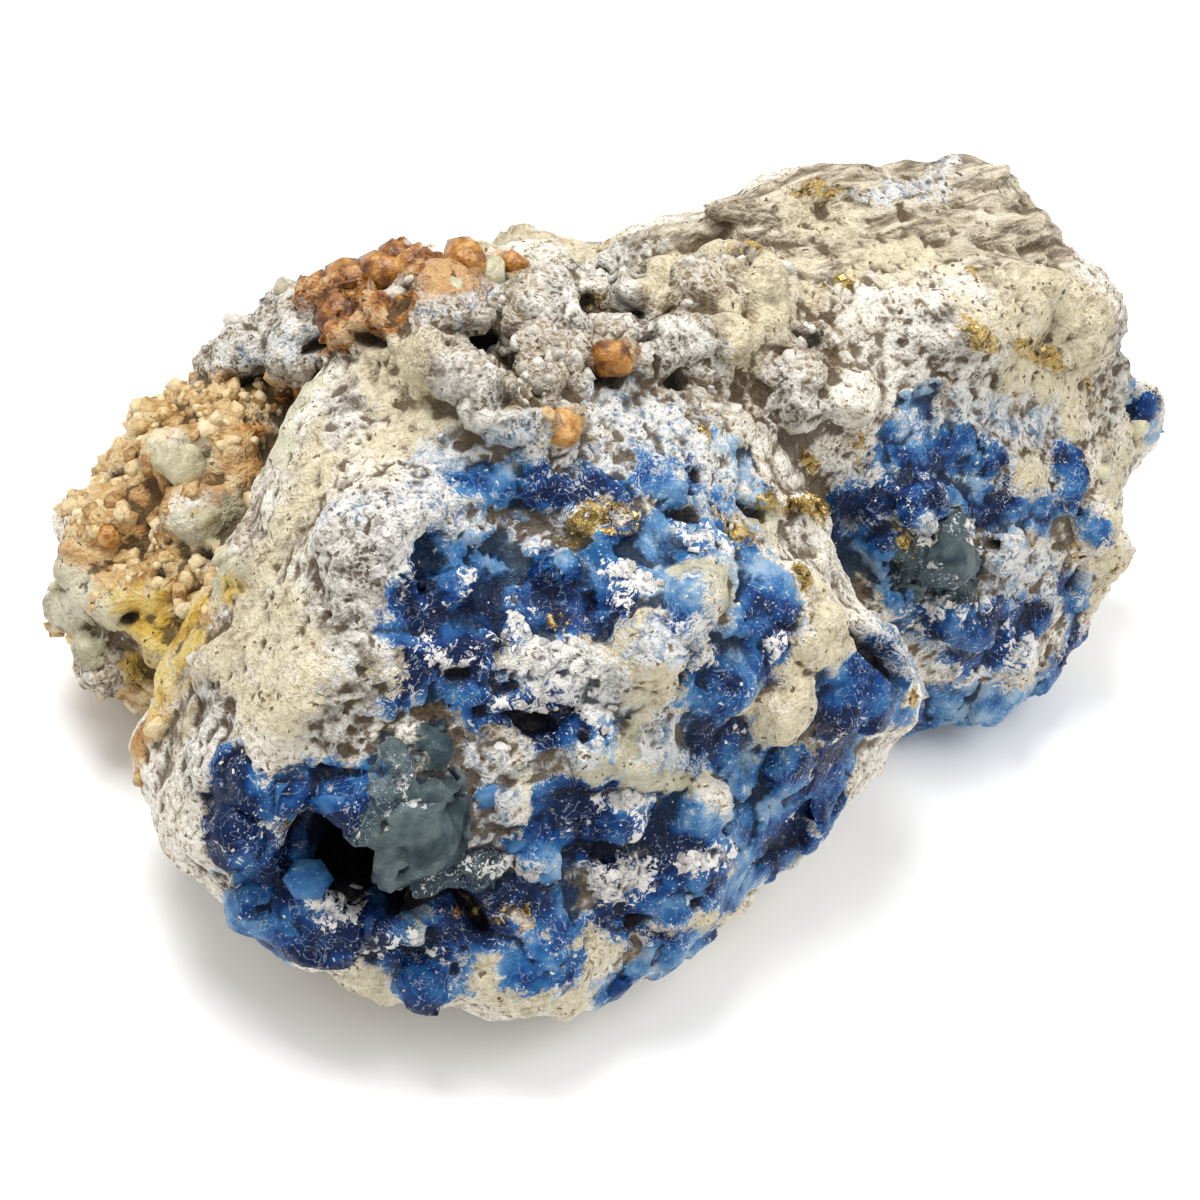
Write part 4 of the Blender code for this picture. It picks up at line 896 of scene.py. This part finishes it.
def sow(name, shapes, mask, per_cm2, smallest, largest, sink, flat, tilt, seed, material, smooth=False):
    """Strews the shapes over the skin where the mask is high: how many to a square centimetre,
    their sizes and how deep they sit in millimetres, how flat they are and how far they lean."""
    stock = bpy.data.collections.new(name + " shapes")
    for shape in shapes:
        stock.objects.link(shape)
    tree = bpy.data.node_groups.new(name, "GeometryNodeTree")
    face = tree.interface
    face.new_socket("Geometry", in_out="INPUT", socket_type="NodeSocketGeometry")
    sizes = {}
    for label, kind, value in (("Per Square Metre", "NodeSocketFloat", per_cm2 * 1e4), ("Smallest", "NodeSocketFloat", smallest),
                               ("Largest", "NodeSocketFloat", largest), ("Sink", "NodeSocketFloat", sink * MM),
                               ("Flatness", "NodeSocketFloat", flat), ("Tilt", "NodeSocketFloat", tilt),
                               ("Seed", "NodeSocketInt", seed)):
        sizes[face.new_socket(label, in_out="INPUT", socket_type=kind).identifier] = value
    face.new_socket("Geometry", in_out="OUTPUT", socket_type="NodeSocketGeometry")
    given = lay(tree, "NodeGroupInput").outputs
    share = lay(tree, "GeometryNodeInputNamedAttribute", {"data_type": "FLOAT"}, Name=mask).outputs[0]
    share = between(tree, share, 0.45, 0.95)
    points = lay(tree, "GeometryNodeDistributePointsOnFaces", {}, Mesh=given["Geometry"],
                 Density=sums(tree, "MULTIPLY", share, given["Per Square Metre"]), Seed=given["Seed"])

    def luck(low, high, add, kind="FLOAT"):
        made = lay(tree, "FunctionNodeRandomValue", {"data_type": kind}, Seed=sums(tree, "ADD", given["Seed"], float(add)))
        wanted = [socket for socket in made.inputs if socket.enabled and socket.name in ("Min", "Max")]
        for socket, value in zip(wanted, (low, high)):
            if isinstance(value, bpy.types.NodeSocket):
                tree.links.new(value, socket)
            else:
                socket.default_value = value
        return next(socket for socket in made.outputs if socket.enabled)

    lean = lay(tree, "ShaderNodeVectorMath", {"operation": "SCALE"}, Scale=given["Tilt"],
               n0=luck((-1, -1, 0), (1, 1, 0), 1, "FLOAT_VECTOR")).outputs[0]
    spin = lay(tree, "ShaderNodeVectorMath", {"operation": "ADD"}, n0=lean, n1=luck((0, 0, 0), (0, 0, 6.28), 2, "FLOAT_VECTOR")).outputs[0]
    turned = lay(tree, "FunctionNodeRotateRotation", {"rotation_space": "LOCAL"}, Rotation=points.outputs["Rotation"],
                 Rotate_By=lay(tree, "FunctionNodeEulerToRotation", {}, Euler=spin).outputs[0]).outputs[0]
    grown = luck(0.0, 1.0, 3)
    grown = sums(tree, "POWER", grown, 1.7)
    grown = lay(tree, "ShaderNodeMapRange", {}, Value=grown, To_Min=given["Smallest"], To_Max=given["Largest"]).outputs[0]
    stretch = luck((0.75, 0.75, 0.8), (1.3, 1.3, 1.2), 4, "FLOAT_VECTOR")
    squash = lay(tree, "ShaderNodeCombineXYZ", {}, X=1.0, Y=1.0, Z=given["Flatness"]).outputs[0]
    stretch = lay(tree, "ShaderNodeVectorMath", {"operation": "MULTIPLY"}, n0=stretch, n1=squash).outputs[0]
    size = lay(tree, "ShaderNodeVectorMath", {"operation": "SCALE"}, n0=stretch, Scale=grown).outputs[0]
    shown = lay(tree, "GeometryNodeCollectionInfo", {}, Collection=stock, Separate_Children=True, Reset_Children=True)
    sown = lay(tree, "GeometryNodeInstanceOnPoints", {}, Points=points.outputs["Points"], Instance=shown.outputs[0],
               Pick_Instance=True, Instance_Index=luck(0, len(shapes) - 1, 5, "INT"), Rotation=turned, Scale=size)
    deep = lay(tree, "ShaderNodeCombineXYZ", {}, Z=sums(tree, "MULTIPLY", given["Sink"], -1.0)).outputs[0]
    set_in = lay(tree, "GeometryNodeTranslateInstances", {}, Instances=sown.outputs[0], Translation=deep, Local_Space=True)
    marked = lay(tree, "GeometryNodeStoreNamedAttribute", {"data_type": "FLOAT", "domain": "INSTANCE"},
                 Geometry=set_in.outputs[0], Name="shade", Value=luck(0.0, 1.0, 6))
    real = lay(tree, "GeometryNodeRealizeInstances", {}, Geometry=marked.outputs[0])
    dressed = lay(tree, "GeometryNodeSetMaterial", {}, Geometry=real.outputs[0], Material=material)
    tree.links.new(dressed.outputs[0], lay(tree, "NodeGroupOutput").inputs[0])

    mesh = skin.data.copy()
    piece = bpy.data.objects.new(name, mesh)
    bpy.context.scene.collection.objects.link(piece)
    strew = piece.modifiers.new("Strew", "NODES")
    strew.node_group = tree
    for socket, value in sizes.items():
        strew[socket] = value
    graph = bpy.context.evaluated_depsgraph_get()
    made = bpy.data.meshes.new_from_object(piece.evaluated_get(graph))
    made.name = name
    piece.modifiers.clear()
    piece.data = made
    bpy.data.meshes.remove(mesh)
    for shape in shapes:
        bpy.data.objects.remove(shape)
    bpy.data.collections.remove(stock)
    made.polygons.foreach_set("use_smooth", [smooth] * len(made.polygons))
    if not made.materials:
        made.materials.append(material)
    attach(piece, "root")
    return piece


def grain_finish(name, stops, rough, size=1.2, bumpy=0.5, metal=0.0, clear=0.0, spread=0.7):
    """A finish for grown grains: each grain has its own shade, mottled within it."""
    made, tree = finish(name)
    where = lay(tree, "ShaderNodeTexCoord").outputs["Object"]
    mottle = clouds(tree, where, size, 2, 0.65).outputs[0]
    amount = sums(tree, "MULTIPLY_ADD", measure(tree, "shade"), spread, sums(tree, "MULTIPLY_ADD", mottle, 1.4, -0.2 - spread / 2))
    bump = lay(tree, "ShaderNodeBump", Height=clouds(tree, where, 0.5, 2, 0.6).outputs[0], Strength=bumpy, Distance=0.0004)
    shader = lay(tree, "ShaderNodeBsdfPrincipled", Base_Color=ramp(tree, amount, stops), Normal=bump.outputs[0],
                 Roughness=between(tree, mottle, 0.35, 0.65, rough, rough + 0.25))
    shader.inputs["Metallic"].default_value = metal
    shader.inputs["Transmission Weight"].default_value = clear
    shader.inputs["IOR"].default_value = 1.52
    show(tree, shader)
    return made


# Large afghanite crystals. Blue glassy crystals big enough to be told apart stand on the blue
# skin: a six-sided one in the mouth of the hollow, lobed plates with thin rims, and blocks.
blue_stops = [(0.14, (0.001, 0.010, 0.050)), (0.34, (0.003, 0.040, 0.165)), (0.52, (0.018, 0.105, 0.275)),
              (0.72, (0.070, 0.190, 0.370)), (0.96, (0.24, 0.37, 0.50))]


def glassy_finish(name, stops, rough):
    made, tree = finish(name)
    where = lay(tree, "ShaderNodeTexCoord").outputs["Object"]
    mottle = clouds(tree, where, 2.3, 3, 0.6).outputs[0]
    speckle = clouds(tree, where, 0.6, 2, 0.65).outputs[0]
    broad = clouds(tree, where, 7.5, 2, 0.5).outputs[0]
    rim = measure(tree, "rim")
    amount = sums(tree, "MULTIPLY_ADD", measure(tree, "shade"), 0.26, sums(tree, "MULTIPLY_ADD", mottle, 0.9, -0.80))
    amount = sums(tree, "MULTIPLY_ADD", broad, 1.4, amount)
    amount = sums(tree, "MULTIPLY_ADD", between(tree, measure(tree, "deep"), -2.0, 2.0), -0.12, amount)
    amount = sums(tree, "MULTIPLY_ADD", sums(tree, "POWER", rim, 3.0), 0.14, amount)
    colour = ramp(tree, amount, stops)
    lace = sums(tree, "MULTIPLY_ADD", rim, 0.10, speckle)
    colour = blend(tree, between(tree, lace, 0.68, 0.74), colour, (0.52, 0.54, 0.56))
    bump = lay(tree, "ShaderNodeBump", Height=speckle, Strength=0.30, Distance=0.0004)
    shader = lay(tree, "ShaderNodeBsdfPrincipled", Base_Color=colour, Normal=bump.outputs[0],
                 Roughness=between(tree, mottle, 0.35, 0.65, rough, rough + 0.2))
    shader.inputs["IOR"].default_value = 1.52
    shader.inputs["Specular IOR Level"].default_value = 0.22
    show(tree, shader)
    return made


afghanite = glassy_finish("Afghanite", blue_stops, 0.20)
petals = [petal_plate("lobe", seed, 18, 0.17) for seed in (21, 22, 23)]
hexagon = prism("hexagon", 6, 0.15, 0.16, 5)
chunks = [rough_block("chunk", seed, 16, 0.8) for seed in (9, 10, 11)]
A, B, C = petals
J, K, L = chunks
large = place_by_hand("large_afghanite", [
    (hexagon, (308, 880), (5.6, 5.0, 4.5), 1.0, 10, 0.8, 0.92), (A, (287, 798), (3.0, 4.6, 2.2), 0.6, 30, 0.5, 0.85),
    (B, (492, 795), (4.8, 3.8, 2.5), 0.5, 20, 0.3, 1.0), (J, (525, 846), (5.4, 4.8, 4.4), 0.6, 40, 0.2, 0.95),
    (C, (548, 870), (4.0, 3.4, 2.5), 0.4, 0, 0.2, 0.8), (B, (818, 806), (5.4, 4.6, 2.5), 0.4, 80, 0.1, 0.80),
    (K, (335, 800), (7.0, 4.0, 3.4), 0.3, 5, 0.2, 0.40), (L, (372, 925), (5.0, 4.4, 3.6), 0.2, 120, 0.2, 0.30),
    (J, (408, 985), (6.4, 5.0, 3.8), 0.2, 10, 0.2, 0.35), (K, (240, 872), (4.4, 5.6, 3.0), 0.1, 60, 0.2, 0.60),
    (L, (618, 988), (5.0, 4.2, 3.2), 0.1, 50, 0.1, 0.70),
    (C, (1146, 408), (4.0, 5.0, 2.8), 0.3, 0, 0.1, 0.50), (J, (1080, 600), (3.8, 4.4, 3.0), 0.2, 30, 0.1, 0.50),
], afghanite)

# White crust flakes. Calcite left ragged white plates a millimetre wide over the blue and the
# grey crust.
white_stops = [(0.15, (0.36, 0.33, 0.30)), (0.45, (0.58, 0.555, 0.515)), (0.80, (0.73, 0.70, 0.66))]
calcite = grain_finish("White crust", white_stops, 0.55, 0.8, 0.5)
lace = sow("white_lace", [torn_flake("flake", seed) for seed in (1, 2, 3, 4, 5, 6)], "white_share",
           45, 0.5, 1.5, 0.0, 1.1, 0.5, 12, calcite)
stray_lace = sow("stray_flakes", [torn_flake("flake", seed) for seed in (7, 8, 9, 10)], "blue_share",
                 3.0, 0.25, 0.8, 0.05, 1.0, 0.4, 13, calcite)

# Crust grains. The pale crust is a felt of small rounded calcite grains with dark gaps.
crust_stops = [(0.10, (0.17, 0.14, 0.11)), (0.35, (0.38, 0.34, 0.28)), (0.60, (0.58, 0.535, 0.465)), (0.85, (0.70, 0.665, 0.60))]
crust_grain = grain_finish("Crust grains", crust_stops, 0.5, 0.9, 0.7)
crumbs = sow("crust_grains", [rough_knob("knob", 1), rough_knob("knob", 2)] + [rough_block("crumb", seed, 20) for seed in (51, 52, 53, 54)], "crust_share",
             16, 0.7, 2.6, 0.25, 0.85, 0.6, 14, crust_grain, True)

# Tan grains. The left lobe is stained tan and built of rounded grains and stubby crystals.
tan_stops = [(0.10, (0.26, 0.13, 0.035)), (0.35, (0.50, 0.32, 0.12)), (0.60, (0.66, 0.49, 0.25)), (0.90, (0.72, 0.61, 0.39))]
tan_grain = grain_finish("Tan grains", tan_stops, 0.4, 1.0, 0.7)
tan_crumbs = sow("tan_grains", [rough_knob("knob", 5)] + [rough_block("stub", seed, 18) for seed in (61, 62, 63, 64)],
                 "tan_share", 34, 0.9, 3.0, 0.12, 0.9, 0.8, 15, tan_grain, True)

# Rust-brown crystals. Iron stained the blocky crystals on the crown of the left lobe.
rust_stops = [(0.10, (0.030, 0.008, 0.001)), (0.35, (0.16, 0.050, 0.005)), (0.60, (0.37, 0.150, 0.018)), (0.90, (0.62, 0.38, 0.13))]
rust_grain = grain_finish("Rust crystals", rust_stops, 0.15, 1.6, 0.6, spread=0.45)
rusty = sow("rust_crystals", [rough_block("rust block", seed, 12, 0.8) for seed in (31, 32, 33)], "rust_share",
            9, 1.0, 2.6, 0.1, 0.8, 0.6, 16, rust_grain)

# Large iron-stained crystals. Amber and brown calcite blocks up to 6 mm stand on the crown, one
# brown ball and a flat orange crystal lie lower down.
D, E, F = [rough_block("amber", seed, 40, 0.85) for seed in (71, 72, 73)]
ball, lens_shape = rough_knob("ball", 7), petal_plate("lens", 31, 14, 0.20)
amber = place_by_hand("large_rust", [
    (D, (320, 294), (6.6, 5.6, 5.0), 0.1, 10, 0.2, 0.50), (E, (350, 282), (8.0, 6.0, 5.4), 0.2, 50, 0.2, 0.42),
    (F, (384, 272), (7.6, 5.0, 5.0), 0.2, 20, 0.2, 0.50), (D, (340, 314), (6.6, 6.0, 4.6), 0.0, 80, 0.2, 0.22),
    (E, (366, 300), (7.0, 5.6, 4.6), 0.1, 120, 0.2, 0.35), (F, (412, 268), (6.0, 4.6, 4.4), 0.1, 0, 0.2, 0.62),
    (D, (400, 256), (5.6, 4.4, 4.0), 0.0, 30, 0.2, 0.32), (E, (465, 262), (7.4, 4.8, 4.4), 0.5, 15, 0.2, 0.70),
    (F, (440, 276), (6.0, 4.6, 4.0), 0.1, 60, 0.2, 0.80), (D, (515, 265), (3.4, 3.0, 2.8), 0.4, 0, 0.2, 0.66),
    (ball, (611, 361), (5.2, 4.6, 4.4), 0.7, 0, 0.1, 0.45), (lens_shape, (562, 430), (5.6, 5.2, 4.4), 0.9, 0, 0.3, 1.15),
    (E, (240, 437), (3.4, 3.0, 2.4), 0.6, 30, 0.2, 0.85), (F, (108, 536), (3.0, 2.8, 2.4), 0.6, 0, 0.2, 0.90),
], rust_grain, True)

# Pale crystals. Grey-green calcite that nothing stained, in blocks and one scalloped plate.
pale_stops = [(0.10, (0.20, 0.185, 0.12)), (0.40, (0.43, 0.39, 0.25)), (0.70, (0.59, 0.55, 0.37)), (0.95, (0.72, 0.67, 0.48))]
pale_calcite = grain_finish("Pale calcite", pale_stops, 0.28, 1.6, 0.6)
G, H = [rough_block("pale", seed, 14, 0.85) for seed in (81, 82)]
scallop = petal_plate("scallop", 33, 16, 0.16)
pale = place_by_hand("pale_crystals", [
    (G, (490, 277), (5.0, 4.4, 4.2), 0.8, 20, 0.2, 0.55), (H, (285, 293), (4.0, 3.8, 3.6), 0.8, 0, 0.2, 0.35),
    (scallop, (181, 462), (7.6, 7.0, 3.4), 1.1, 0, 0.5, 0.70), (H, (205, 515), (4.0, 3.6, 3.4), 0.8, 40, 0.2, 0.50),
    (G, (225, 560), (3.6, 3.4, 3.0), 0.6, 0, 0.2, 0.60), (H, (452, 292), (3.6, 3.0, 3.0), 0.6, 70, 0.2, 0.62),
    (G, (62, 588), (4.4, 4.0, 3.4), 0.5, 10, 0.2, 0.50), (H, (165, 420), (3.4, 3.2, 3.0), 0.7, 0, 0.2, 0.66),
    (G, (1135, 428), (4.0, 3.6, 3.4), 0.6, 0, 0.2, 0.85), (H, (1100, 470), (3.4, 3.4, 2.6), 0.4, 0, 0.2, 0.85),
], pale_calcite, True)

# Pyrite. Brassy cubes well under a millimetre wide sit in strings and clusters.
brass_stops = [(0.15, (0.13, 0.08, 0.025)), (0.45, (0.38, 0.265, 0.09)), (0.80, (0.66, 0.50, 0.22))]
pyrite = grain_finish("Pyrite", brass_stops, 0.22, 0.5, 0.3, metal=1.0)
cubes = sow("pyrite_cubes", [closed_shape("cube", [(x, y, z) for x in (-0.5, 0.5) for y in (-0.5, 0.5) for z in (-0.5, 0.5)]),
                             rough_block("pyrite lump", 41, 12)], "brass_share",
            55, 0.3, 1.0, 0.0, 1.0, 0.8, 17, pyrite)


# The floor and the light: a plain white sheet under a soft tent of light from above.
FLOOR_HALF = 3.0
sheet = bpy.data.meshes.new("floor")
sheet.from_pydata([(-FLOOR_HALF, -FLOOR_HALF, 0), (FLOOR_HALF, -FLOOR_HALF, 0), (FLOOR_HALF, FLOOR_HALF, 0),
                   (-FLOOR_HALF, FLOOR_HALF, 0)], [], [(0, 1, 2, 3)])
floor = bpy.data.objects.new("floor", sheet)
floor.location.z = -0.0002
bpy.context.scene.collection.objects.link(floor)
paper = bpy.data.materials.new("White paper")
paper.use_nodes = True
paper.node_tree.nodes["Principled BSDF"].inputs["Base Color"].default_value = (0.93, 0.93, 0.93, 1)
paper.node_tree.nodes["Principled BSDF"].inputs["Roughness"].default_value = 0.9
paper.node_tree.nodes["Principled BSDF"].inputs["Specular IOR Level"].default_value = 0.0
sheet.materials.append(paper)

sky = bpy.data.worlds.new("Tent")
bpy.context.scene.world = sky
sky.use_nodes = True
sky.node_tree.nodes["Background"].inputs[0].default_value = (1.0, 1.0, 1.0, 1)
sky.node_tree.nodes["Background"].inputs[1].default_value = 0.76


def softbox(name, place, aim, wide, watts):
    lamp = bpy.data.lights.new(name, "AREA")
    lamp.size = wide
    lamp.energy = watts
    held = bpy.data.objects.new(name, lamp)
    held.location = place
    held.rotation_euler = (Vector(aim) - Vector(place)).to_track_quat("-Z", "Y").to_euler()
    bpy.context.scene.collection.objects.link(held)


softbox("Key", (-0.12, 0.18, 0.62), (0, 0, 0.03), 0.26, 3.2)
softbox("Fill", (0.24, -0.24, 0.56), (0, 0, 0.03), 0.40, 1.3)
bpy.context.scene.view_settings.view_transform = "Standard"
